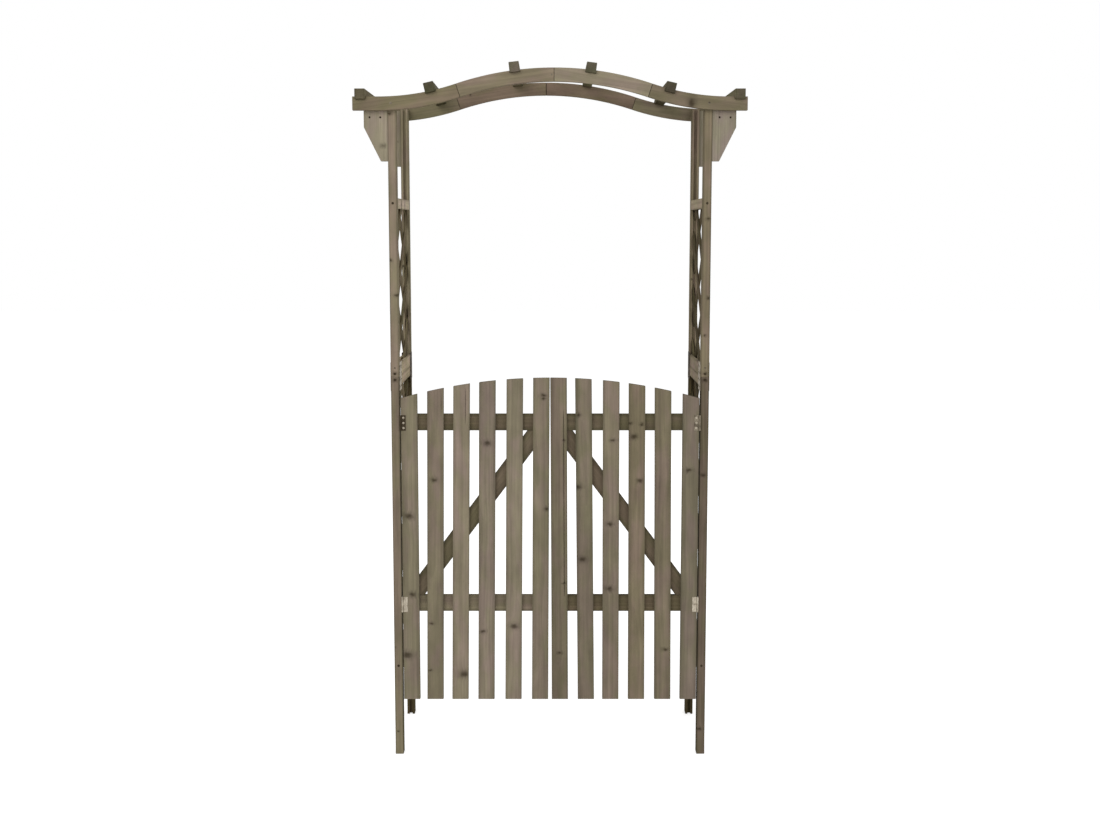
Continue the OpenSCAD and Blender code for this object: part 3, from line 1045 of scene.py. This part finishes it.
@dataclass
class ScrewTray:
    """Screw heads of one finish, gathered for one body."""

    shop: Workshop
    name: str
    body: str
    finish: ZincFinish
    bm: bmesh.types.BMesh = field(default_factory=bmesh.new)
    patterns: dict[CrossScrew, bpy.types.Mesh] = field(default_factory=dict)

    def drive(self, screw: CrossScrew, middle: Sequence[float], facing: Vector) -> None:
        """Adds one head.

        Args:
            screw: The kind of screw.
            middle: Where its axis meets the surface.
            facing: The way that the head looks.
        """
        if screw not in self.patterns:
            self.patterns[screw] = screw.mesh()
        known = len(self.bm.verts)
        self.bm.from_mesh(self.patterns[screw])
        self.bm.verts.ensure_lookup_table()
        spin = Matrix.Rotation(self.shop.dice.uniform(0, math.pi / 2), 4, "Z")
        turn = facing.to_track_quat("Z", "Y").to_matrix().to_4x4()
        place = Matrix.Translation(middle) @ turn @ spin
        bmesh.ops.transform(self.bm, matrix=place, verts=self.bm.verts[known:])

    def finish_heads(self) -> None:
        """Makes the piece that holds the heads."""
        self.shop.finish_piece(self.bm, self.name, self.finish, self.body)


# ---- Sub-assemblies ----


@dataclass
class PostSet:
    """The eight post lengths, four on each side."""

    shop: Workshop
    easing: float = 0.0014
    # Brightness left by painted shade on the lower back posts' front faces.
    slot_grime: float = 0.55
    reach: float = 0.001
    small_knots: Scatter = Scatter(0.4, 0.002, 0.0045)
    turned: tuple[str, ...] = ("left_front_post_lower", "left_back_post_upper", "right_back_post_lower")
    # Own tones of the lengths, partly painted shade: the right-hand lengths are darker for the light that
    # falls from the left.
    stains: dict[str, Colour] = field(default_factory=lambda: {
        "left_front_post_upper": (131, 121, 104),
        "left_front_post_lower": (118, 109, 93),
        "right_front_post_upper": (124, 113, 97),
        "right_front_post_lower": (102, 93, 79),
        "left_back_post_upper": (140, 130, 112),
        "left_back_post_lower": (103, 94, 77),
        "right_back_post_upper": (128, 117, 100),
        "right_back_post_lower": (98, 89, 73),
    })
    knots: tuple[Knot, ...] = (
        Knot(-0.4588, -0.172, 1.4258, 0.0045),
        Knot(0.4649, -0.172, 0.8801, 0.005),
        Knot(0.4619, -0.172, 0.0812, 0.005),
        Knot(-0.467, -0.172, 1.170, 0.0045),
        Knot(-0.467, -0.172, 1.190, 0.0045),
        Knot(0.467, -0.172, 1.170, 0.0045),
        Knot(0.467, -0.172, 1.190, 0.0045),
    )

    def build(self) -> None:
        """Makes each post length as a piece of its own."""
        for node, stain in self.stains.items():
            low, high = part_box(node)
            knots = [
                knot for knot in self.knots
                if all(a - self.reach <= c <= b for a, c, b in zip(low, knot.middle, high))
            ]
            knots += self.shop.scatter(node, self.small_knots)
            board = Board(stain, turned=node in self.turned)
            # Painted shade: the lower front posts' faces towards the passage are darkened for the shade in
            # the gap beside the leaves, and the lower back posts' front faces, slots included, for the
            # shade behind the gate.
            if "front_post_lower" in node:
                board = replace(board, grimy=RIGHTWARD * -math.copysign(1.0, low.x))
            elif "back_post_lower" in node:
                board = replace(board, grimy=-BACKWARD, grime=self.slot_grime)
            self.shop.wooden_piece(node, "board", FRAME_WOOD, [board], knots, self.easing)


@dataclass
class SideRails:
    """The rails between the front and back posts of each side, the lower one of each node first."""

    shop: Workshop
    # Partly painted light: the rails are stained lighter than the frame's wood, for light on their faces
    # towards the passage.
    stains: dict[str, tuple[Colour, Colour]] = field(default_factory=lambda: {
        "left_lower_side_rails": ((123, 112, 96), (164, 150, 130)),
        "left_upper_side_rails": ((169, 155, 135), (168, 157, 140)),
        "right_lower_side_rails": ((117, 106, 90), (142, 130, 115)),
        "right_upper_side_rails": ((144, 132, 117), (156, 144, 127)),
    })
    knots: tuple[Knot, ...] = (Knot(-0.4545, -0.061, 1.697, 0.010), Knot(-0.4545, 0.028, 1.697, 0.010))

    def build(self) -> None:
        """Makes the rails, two to a node."""
        for node, stains in self.stains.items():
            boards = [Board(stain, BACKWARD) for stain in stains]
            knots = self.knots if node == "left_upper_side_rails" else ()
            self.shop.wooden_piece(node, "boards", FRAME_WOOD, boards, knots)


@dataclass
class LatticePanel:
    """One trellis field: two crossed layers of slats, pinned where they cross.

    The crossings are heights at which a rising and a falling slat cross the middle of the panel.
    """

    shop: Workshop
    side: Side
    level: Level
    slat_width: float = 0.030
    slat_thickness: float = 0.0045
    pitch: float = 0.172
    pin_radius: float = 0.0013
    pin_rise: float = 0.0004
    pin_sides: int = 12
    pin_top_share: float = 0.7
    pin_margin: float = 0.01
    easing: float = 0.0007
    crossing_z: dict[Side, tuple[float, float]] = field(default_factory=lambda: {
        Side.LEFT: (1.514, 1.494), Side.RIGHT: (1.441, 1.480),
    })
    # Partly painted shade: the right panels are stained darker for the light that falls from the left.
    stains: dict[Side, tuple[Colour, ...]] = field(default_factory=lambda: {
        Side.LEFT: ((104, 94, 75), (90, 82, 62), (110, 100, 80), (96, 86, 67)),
        Side.RIGHT: ((88, 80, 63), (76, 69, 53), (93, 84, 67), (80, 72, 56)),
    })

    def __post_init__(self) -> None:
        """Takes the field's box from its CAD node, and works out its crossings."""
        self.node = f"{self.side.label}_{self.level.label}_lattice"
        self.low, self.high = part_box(self.node)
        self.rising, self.falling = (self.crossings(z) for z in self.crossing_z[self.side])

    def crossings(self, mid_z: float) -> list[float]:
        """Spaces the slats of a layer.

        Args:
            mid_z: Height at which one of them crosses the middle of the panel.

        Returns:
            The heights at which they cross it.
        """
        reach = self.high.y + self.slat_width
        first = math.floor((self.low.z - reach - mid_z) / self.pitch)
        last = math.ceil((self.high.z + reach - mid_z) / self.pitch)
        return [mid_z + number * self.pitch for number in range(first, last + 1)]

    def add_slat(self, bm: bmesh.types.BMesh, slope: int, middle: Sequence[float]) -> None:
        """Adds one slat, trimmed to the panel.

        Args:
            bm: The mesh to add to.
            slope: 1 for a slat that rises to the back, and -1 for one that falls.
            middle: Where its middle line crosses the middle of the panel.
        """
        scale = Matrix.Diagonal((self.slat_thickness, 4 * self.high.y, self.slat_width, 1.0))
        turn = Matrix.Rotation(slope * math.pi / 4, 4, "X")
        slat = bmesh.new()
        bmesh.ops.create_cube(slat, size=1.0, matrix=Matrix.Translation(middle) @ turn @ scale)
        limits = ((self.low, -BACKWARD), (self.high, BACKWARD), (self.low, -UP), (self.high, UP))
        for corner, outward in limits:
            cut = bmesh.ops.bisect_plane(
                slat, geom=[*slat.verts, *slat.edges, *slat.faces], plane_co=corner, plane_no=outward,
                clear_outer=True,
            )
            rim = [g for g in cut["geom_cut"] if isinstance(g, bmesh.types.BMEdge)]
            bmesh.ops.edgenet_fill(slat, edges=rim)
        mesh = mesh_of(slat, "slat")
        bm.from_mesh(mesh)
        bpy.data.meshes.remove(mesh)

    def build(self) -> None:
        """Makes the two layers of slats, then the pins."""
        inner, outer = sorted((self.low.x, self.high.x), key=abs)
        step = self.side.value * self.slat_thickness / 2
        layers = (("rising", 1, self.rising, inner + step), ("falling", -1, self.falling, outer - step))
        for word, slope, heights, x in layers:
            bm = bmesh.new()
            for z in heights:
                self.add_slat(bm, slope, (x, 0.0, z))
            boards = [Board(stain, Vector((0.0, 1.0, slope))) for stain in self.stains[self.side]]
            self.shop.wooden_piece(
                self.node, f"{word}_slats", LATTICE_WOOD, boards, easing=self.easing, bm=bm
            )
        self.build_pins()

    def build_pins(self) -> None:
        """Makes the heads of the pins that hold the layers together."""
        bm = bmesh.new()
        reach = self.high.y - self.slat_width / 2
        lowest, highest = self.low.z + self.pin_margin, self.high.z - self.pin_margin
        for rise, fall in itertools.product(self.rising, self.falling):
            y, z = (fall - rise) / 2, (fall + rise) / 2
            if abs(y) > reach or not lowest < z < highest:
                continue
            for x, outward in ((self.low.x, -1), (self.high.x, 1)):
                place = Matrix.Translation((x + outward * self.pin_rise / 2, y, z))
                turn = Matrix.Rotation(outward * math.pi / 2, 4, "Y")
                bmesh.ops.create_cone(
                    bm, cap_ends=True, segments=self.pin_sides, radius1=self.pin_radius,
                    radius2=self.pin_radius * self.pin_top_share, depth=self.pin_rise, matrix=place @ turn,
                )
        self.shop.finish_piece(bm, f"{self.node}_pins", DARK_ZINC, "frame")


@dataclass
class BeamPair:
    """The two curved beams, each of four boards cut to the curve."""

    shop: Workshop
    lean: float = math.radians(9.0)
    seam_x: float = 0.55
    close_seam_x: float = 0.1
    front_easing: float = 0.0009
    back_easing: float = 0.0013
    small_knots: Scatter = Scatter(0.2, 0.002, 0.004)
    stains: dict[str, Colour] = field(default_factory=lambda: {
        "front_beam_left_end": (119, 109, 90),
        "front_beam_left_crown": (131, 119, 103),
        "front_beam_right_crown": (137, 127, 111),
        "front_beam_right_end": (117, 107, 90),
        "back_beam_left_end": (118, 110, 90),
        "back_beam_left_crown": (118, 106, 89),
        "back_beam_right_crown": (116, 103, 87),
        "back_beam_right_end": (116, 107, 90),
    })
    knots: tuple[Knot, ...] = (Knot(0.415, -0.190, 1.990, 0.010),)

    def build(self) -> None:
        """Makes each board as a piece of its own, its grain along its chord."""
        for node, stain in self.stains.items():
            rising = 1 if "left" in node else -1
            along = Vector((math.cos(self.lean), 0.0, rising * math.sin(self.lean)))
            seam_x = self.close_seam_x if node.startswith("back") and "crown" in node else self.seam_x
            board = Board(stain, along, seam_x, curved=True)
            knots = list(self.knots) if node == "front_beam_right_end" else []
            knots += self.shop.scatter(node, self.small_knots)
            easing = self.front_easing if "front" in node else self.back_easing
            self.shop.wooden_piece(node, "board", BEAM_WOOD, [board], knots, easing)


@dataclass
class BattenRow:
    """The battens on the beams, from left to right."""

    shop: Workshop
    easing: float = 0.0013
    # Brightness left by painted shade on the battens' undersides.
    underside_grime: float = 0.5
    small_knots: Scatter = Scatter(0.3, 0.002, 0.005)
    stains: tuple[Colour, ...] = (
        (125, 115, 97), (98, 95, 76), (135, 127, 112), (118, 113, 96), (95, 90, 74), (115, 109, 90),
    )

    def build(self) -> None:
        """Makes the battens."""
        for number, stain in enumerate(self.stains, 1):
            node = f"batten_{number}"
            knots = self.shop.scatter(node, self.small_knots)
            # Painted shade: the undersides are darkened for the shadow under and between the beams.
            board = Board(stain, BACKWARD, grimy=-UP, grime=self.underside_grime)
            self.shop.wooden_piece(node, "board", BATTEN_WOOD, [board], knots, self.easing)


@dataclass
class BracketSet:
    """The four corner boards under the beam ends."""

    shop: Workshop
    easing: float = 0.0010
    small_knots: Scatter = Scatter(0.3, 0.002, 0.004)
    stains: dict[Side, Colour] = field(default_factory=lambda: {
        Side.LEFT: (145, 135, 120), Side.RIGHT: (138, 130, 116),
    })
    knots: tuple[Knot, ...] = (Knot(-0.493, -0.178, 1.868, 0.0045),)

    def build(self) -> None:
        """Makes the brackets, their grain upright."""
        for side, face in itertools.product(Side, Face):
            node = f"{side.label}_{face.label}_bracket"
            knots = self.knots if face is Face.FRONT else self.shop.scatter(node, self.small_knots)
            board = Board(self.stains[side], UP)
            self.shop.wooden_piece(node, "board", BRACKET_WOOD, [board], knots, self.easing)


@dataclass
class GateLeaf:
    """One leaf: six pickets on two rails and a brace, counted from the hinges and from below.

    The knots of the pickets are given by their x, z and radius, and turned boards by their numbers.
    """

    shop: Workshop
    side: Side
    picket_stains: tuple[Colour, ...]
    turned_pickets: tuple[int, ...]
    knots: tuple[tuple[float, float, float], ...]
    rail_stains: tuple[Colour, Colour]
    turned_rails: tuple[int, ...]
    brace_stain: Colour
    cracks: tuple[Crack, ...]

    def boards(self, stains: Sequence[Colour], turned: Sequence[int]) -> list[Board]:
        """Gives a board for each stain, some of them turned."""
        return [Board(stain, turned=number in turned) for number, stain in enumerate(stains, 1)]

    def build(self) -> None:
        """Makes the pickets, rails and brace."""
        label = self.side.label
        self.shop.wooden_piece(
            f"{label}_pickets", "boards", PICKET_WOOD, self.boards(self.picket_stains, self.turned_pickets),
            [Knot(x, 0.0, z, radius) for x, z, radius in self.knots],
            order=lambda middle: -abs(middle.x), cracks=self.cracks,
        )
        rails = self.boards(self.rail_stains, self.turned_rails)
        brace = [Board(self.brace_stain, turned=True)]
        for word, boards in (("gate_rails", rails), ("brace", brace)):
            self.shop.wooden_piece(f"{label}_{word}", "boards", GATE_RAIL_WOOD, boards)


@dataclass
class Ironwork:
    """Hinges, joint plates and screws."""

    shop: Workshop
    battens: int = 6
    plate_easing: float = 0.00025
    plate_thickness: float = 0.0012
    plate_half: float = 0.0065
    plate_steps: tuple[float, ...] = (-0.0155, 0.0, 0.0155)
    hole_x: float = 0.021
    hole_span: float = 0.032
    hole_drop: float = 0.049
    hole_depth: float = 0.005
    beam_screw_rise: float = 0.021
    joint_screw_step: float = 0.009
    joint_screw_rise: float = 0.027
    joint_plate_columns: tuple[float, ...] = (0.22, 0.78)
    joint_plate_rows: tuple[float, ...] = (0.14, 0.38, 0.62, 0.86)
    apex_screw_x: float = 0.0046
    apex_screw_z: float = 2.0727
    picket_screw_x: float = 0.012
    picket_screw_z: float = 0.010

    def __post_init__(self) -> None:
        """Finds how far the middles of the posts stand from the middle of the arch."""
        self.post_x = middle_of(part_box("right_front_post_upper")).x

    def build(self) -> None:
        """Makes the plates and drives the screws of the three bodies."""
        node = "post_joint_plates"
        # Painted light and shade: the gate-side joint plates get a lighter zinc, the others dark zinc.
        self.build_plates(node, "clean_joint_plates", PAINTED_LIT_ZINC, self.is_clean)
        self.build_plates(node, "stained_joint_plates", DARK_ZINC, lambda middle: not self.is_clean(middle))
        for side in Side:
            self.build_hinges(side)
            self.screw_leaf(side)
        bright = ScrewTray(self.shop, "frame_bright_screws", "frame", WORN_ZINC)
        dark = ScrewTray(self.shop, "frame_dark_screws", "frame", DARK_ZINC)
        for face, side in itertools.product(Face, Side):
            self.screw_corner(side, face, bright, dark)
        self.screw_battens(bright)
        front_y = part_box("front_beam_left_crown")[0].y
        bright.drive(SMALL_SCREW, (self.apex_screw_x, front_y, self.apex_screw_z), -BACKWARD)
        self.screw_joint_plates(bright, dark)
        self.screw_fixed_plates(bright)
        bright.finish_heads()
        dark.finish_heads()

    def build_plates(self, node: str, name: str, finish: ZincFinish,
                     choose: Callable[[Vector], bool]) -> None:
        """Makes a metal piece from some of the solids of a CAD node, their edges barely eased.

        Args:
            node: Name of the node.
            name: Name of the piece.
            finish: Its finish.
            choose: Tells from the middle of a solid whether the piece holds it.
        """
        bm = self.shop.cad_copy(node)
        spare = [vert for group in solids(bm) if not choose(middle_of(box_of(group))) for vert in group]
        bmesh.ops.delete(bm, geom=spare, context="VERTS")
        ease_edges(bm, self.plate_easing, 1)
        self.shop.finish_piece(bm, name, finish, self.shop.bodies[node], node)

    def is_clean(self, middle: Vector) -> bool:
        """Tells whether a joint plate lies on the gate side of the passage, where it gets a lighter zinc as
        painted light.
        """
        return middle.y < 0 and abs(middle.x) < self.post_x

    def build_hinges(self, side: Side) -> None:
        """Makes the two hinges of a leaf, the upper ones stained.

        Args:
            side: The leaf's side.
        """
        upper = DARK_ZINC if side is Side.LEFT else WORN_ZINC
        middle_z = middle_of(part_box(f"{side.label}_hinge_leaf_plates")).z
        for half in ("fixed", "leaf"):
            node = f"{side.label}_hinge_{half}_plates"
            self.build_plates(node, f"{node}_lower", BRIGHT_ZINC, lambda middle: middle.z < middle_z)
            self.build_plates(node, f"{node}_upper", upper, lambda middle: middle.z > middle_z)

    def screw_corner(self, side: Side, face: Face, bright: ScrewTray, dark: ScrewTray) -> None:
        """Drives the screws of one post, its rails, beam end and bracket.

        Args:
            side: Side of the arch.
            face: Face of the arch.
            bright: Takes the screws with bright heads.
            dark: Takes those with dark ones.
        """
        post = f"{side.label}_{face.label}_post_upper"
        beam = f"{face.label}_beam_{side.label}_end"
        bracket = f"{side.label}_{face.label}_bracket"
        post_low, post_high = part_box(post)
        post_x = middle_of((post_low, post_high)).x

        def drive(tray: ScrewTray, screw: CrossScrew, node: str, x: float, z: float) -> None:
            """Drives a screw into the outer face of a node."""
            tray.drive(screw, (x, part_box(node)[face is Face.BACK].y, z), BACKWARD * face.value)

        drive(bright, SMALL_SCREW, post, post_x, post_low.z + self.joint_screw_rise)
        drive(bright, WOOD_SCREW, beam, post_x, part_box(beam)[0].z + self.beam_screw_rise)
        for level in Level:
            for low, high in self.shop.solid_boxes(f"{side.label}_{level.label}_side_rails"):
                rise = (low.z + high.z) / 2 - post_low.z
                if abs(rise) < high.z - low.z:
                    rise = math.copysign(self.joint_screw_step, rise)
                # Dark heads: partly painted shade, for the hollows that they sit in.
                drive(dark, WOOD_SCREW, post, post_x, post_low.z + rise)
        bracket_low, bracket_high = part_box(bracket)
        floor_y = (bracket_low, bracket_high)[face is Face.BACK].y - face.value * self.hole_depth
        outer_x = max(abs(post_low.x), abs(post_high.x)) + self.hole_x
        for step in (0.0, self.hole_span):
            place = (side.value * (outer_x + step), floor_y, bracket_high.z - self.hole_drop)
            # Dark heads at the floors of the bracket holes: partly painted shade for the holes.
            dark.drive(SUNK_SCREW, place, BACKWARD * face.value)

    def screw_battens(self, tray: ScrewTray) -> None:
        """Drives one screw through each batten into each beam.

        Args:
            tray: Takes the screws.
        """
        for number in range(1, self.battens + 1):
            bm = self.shop.cad_copy(f"batten_{number}")
            top = max(bm.faces, key=lambda face: face.normal.z)
            middle, normal = top.calc_center_median(), top.normal.copy()
            bm.free()
            for face in Face:
                beam_y = middle_of(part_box(f"{face.label}_beam_left_crown")).y
                tray.drive(WOOD_SCREW, (middle.x, beam_y, middle.z), normal)

    def screw_joint_plates(self, bright: ScrewTray, dark: ScrewTray) -> None:
        """Drives two columns of screws through each joint plate.

        Args:
            bright: Takes the screws of the plates in painted shade.
            dark: Takes those of the plates in painted light.
        """
        for low, high in self.shop.solid_boxes("post_joint_plates"):
            middle, size = middle_of((low, high)), high - low
            outward = math.copysign(1.0, middle.x - math.copysign(self.post_x, low.x))
            x = high.x if outward > 0 else low.x
            for across, up in itertools.product(self.joint_plate_columns, self.joint_plate_rows):
                place = (x, low.y + size.y * across, low.z + size.z * up)
                (dark if self.is_clean(middle) else bright).drive(SMALL_SCREW, place, RIGHTWARD * outward)

    def screw_fixed_plates(self, tray: ScrewTray) -> None:
        """Drives three screws through each hinge plate on the posts.

        Args:
            tray: Takes the screws.
        """
        for side in Side:
            for low, high in self.shop.solid_boxes(f"{side.label}_hinge_fixed_plates"):
                x = side.value * (max(abs(low.x), abs(high.x)) - self.plate_thickness)
                for step in self.plate_steps:
                    place = (x, high.y - self.plate_half, (low.z + high.z) / 2 + step)
                    tray.drive(PLATE_SCREW, place, RIGHTWARD * -side.value)

    def screw_leaf(self, side: Side) -> None:
        """Drives the screws of one leaf: hinge plates, and pickets from the back of the rails.

        Args:
            side: The leaf's side.
        """
        label = side.label
        tray = ScrewTray(self.shop, f"{label}_leaf_screws", f"{label}_leaf", BRIGHT_ZINC)
        pickets = self.shop.solid_boxes(f"{label}_pickets")
        plate_y = pickets[0][0].y - self.plate_thickness
        for low, high in self.shop.solid_boxes(f"{label}_hinge_leaf_plates"):
            x = side.value * (min(abs(low.x), abs(high.x)) + self.plate_half)
            for step in self.plate_steps:
                tray.drive(PLATE_SCREW, (x, plate_y, (low.z + high.z) / 2 + step), -BACKWARD)
        for rail in self.shop.solid_boxes(f"{label}_gate_rails"):
            for picket, way in itertools.product(pickets, (-1, 1)):
                x = middle_of(picket).x + way * self.picket_screw_x
                z = middle_of(rail).z + way * self.picket_screw_z
                tray.drive(SMALL_SCREW, (x, rail[1].y, z), BACKWARD)
        tray.finish_heads()


@dataclass(frozen=True)
class Lamp:
    """Square area light that looks at the middle of the arch."""

    name: str
    place: tuple[float, float, float]
    size: float
    power: float

    def build(self) -> None:
        """Puts the light in the scene."""
        light = bpy.data.lights.new(self.name, "AREA")
        light.size = self.size
        light.energy = self.power
        holder = add_object(self.name, light)
        holder.location = self.place
        holder.rotation_euler = (UP - Vector(self.place)).to_track_quat("-Z", "Y").to_euler()


@dataclass
class Studio:
    """Pale floor, soft lights and the camera."""

    floor_size: float = 40.0
    floor_tone: float = 0.8
    floor_glow: float = 0.64
    sky: float = 0.5
    lamps: tuple[Lamp, ...] = (
        Lamp("key_light", (-2.6, -4.2, 4.0), 3.2, 100.0),
        Lamp("fill_light", (3.4, -3.6, 2.4), 3.0, 38.0),
        Lamp("back_light", (2.2, 4.4, 2.8), 3.0, 55.0),
    )
    frame_width: float = 1100.0
    focal_pixels: float = 1230.0
    sensor_width: float = 36.0
    distance: float = 3.678
    eye_height: float = 1.628
    tilt: float = math.radians(5.76)
    shift_y: float = -0.055
    posts_front: float = -0.172

    def build(self) -> None:
        """Sets up the floor, the world, the lights and the camera."""
        self.build_floor()
        self.build_world()
        for lamp in self.lamps:
            lamp.build()
        self.build_camera()

    def build_floor(self) -> None:
        """Makes a white floor that keeps a soft shadow."""
        bm = bmesh.new()
        bmesh.ops.create_grid(bm, x_segments=1, y_segments=1, size=self.floor_size / 2)
        floor = add_object("floor", mesh_of(bm, "floor"))
        sketch = MaterialSketch("pale_floor")
        tone = (self.floor_tone, self.floor_tone, self.floor_tone, 1.0)
        paper = sketch.feed(sketch.node("BsdfDiffuse"), {"Color": tone}).outputs[0]
        glow = sketch.feed(sketch.node("Emission"), {"Strength": self.floor_glow}).outputs[0]
        lit = sketch.feed(sketch.node("AddShader"), {0: paper, 1: glow}).outputs[0]
        pick = sketch.feed(sketch.node("MixShader"), {0: sketch.seen_ray(), 1: paper, 2: lit})
        floor.data.materials.append(sketch.surfaced(pick.outputs[0]))

    def build_world(self) -> None:
        """Makes a white background that lights the object at a plain level."""
        world = bpy.data.worlds.new("soft_sky")
        bpy.context.scene.world = world
        world.use_nodes = True
        sketch = NodeSketch(world.node_tree)
        values = {"Value": sketch.seen_ray(), "To Min": self.sky, "To Max": 1.0}
        level = sketch.feed(sketch.node("MapRange"), values).outputs["Result"]
        sketch.feed(sketch.tree.nodes["Background"], {"Strength": level, "Color": (1.0, 1.0, 1.0, 1.0)})

    def build_camera(self) -> None:
        """Adds the camera in front of the gate, at eye height."""
        data = bpy.data.cameras.new("camera")
        data.sensor_width = self.sensor_width
        data.lens = self.focal_pixels * self.sensor_width / self.frame_width
        data.shift_y = self.shift_y
        camera = add_object("camera", data)
        camera.location = (0.0, self.posts_front - self.distance, self.eye_height)
        camera.rotation_euler = (math.pi / 2 - self.tilt, 0.0, 0.0)
        bpy.context.scene.camera = camera


def gate_leaves(shop: Workshop) -> tuple[GateLeaf, GateLeaf]:
    """Gives the two leaves with the stains of their boards and the knots of their pickets.

    Args:
        shop: The workshop that builds them.

    Returns:
        The left leaf and the right one.
    """
    left = GateLeaf(
        shop, Side.LEFT,
        ((122, 113, 96), (123, 113, 96), (131, 120, 104), (124, 114, 99), (128, 118, 102), (122, 113, 95)),
        (1, 5),
        (
            (-0.4314, 0.752, 0.009), (-0.4223, 0.508, 0.007), (-0.4393, 0.317, 0.010),
            (-0.3521, 0.865, 0.006), (-0.3643, 0.417, 0.0045), (-0.3690, 0.269, 0.003),
            (-0.2640, 0.256, 0.010), (-0.1905, 0.978, 0.007), (-0.2064, 0.391, 0.005),
            (-0.1113, 0.408, 0.008), (-0.0198, 1.124, 0.005), (-0.0195, 1.115, 0.004),
            (-0.0107, 0.776, 0.0055),
        ),
        # The lower rail's light stain is partly painted light, against the shade that the pickets cast on
        # it.
        ((126, 116, 100), (100, 91, 74)), (1,), (102, 94, 77),
        (Crack(-0.2555, 1.035, 1.146, 0.0018), Crack(-0.3285, 1.062, 1.128, 0.0013)),
    )
    # The right leaf's darker stains are partly painted shade, for the light that falls from the left.
    right = GateLeaf(
        shop, Side.RIGHT,
        ((117, 108, 93), (117, 107, 90), (119, 108, 90), (120, 110, 94), (113, 105, 88), (112, 103, 86)),
        (4,),
        (
            (0.0430, 0.987, 0.0025), (0.0430, 0.544, 0.003), (0.0300, 0.3235, 0.004),
            (0.0854, 1.064, 0.0045), (0.0838, 0.843, 0.007), (0.0991, 0.618, 0.008),
            (0.1905, 0.987, 0.005), (0.1826, 0.728, 0.006), (0.1814, 0.526, 0.007),
            (0.2546, 0.998, 0.007), (0.2424, 1.039, 0.004), (0.2774, 1.036, 0.004),
            (0.2729, 0.863, 0.006), (0.3552, 0.334, 0.005), (0.4207, 0.895, 0.006),
        ),
        ((100, 90, 73), (104, 96, 78)), (1, 2), (100, 91, 75), (Crack(0.0425, 0.501, 1.079, 0.0028),),
    )
    return left, right


def main() -> None:
    """Builds the arch and its studio in order."""
    logging.basicConfig(level=logging.INFO, format="%(message)s")
    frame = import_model()
    bpy.context.scene.view_settings.view_transform = "Standard"
    bodies = {
        node: body for body, members in frame["record"]["behaviour"]["bodies"].items() for node in members
    }
    shop = Workshop(frame["nodes"], bodies, random.Random(DICE_SEED))
    PostSet(shop).build()
    SideRails(shop).build()
    for side, level in itertools.product(Side, Level):
        LatticePanel(shop, side, level).build()
    for group in (BeamPair(shop), BattenRow(shop), BracketSet(shop), *gate_leaves(shop), Ironwork(shop)):
        group.build()
    Studio().build()
    LOG.info("%d pieces made", shop.pieces)


if __name__ == "__main__":
    main()
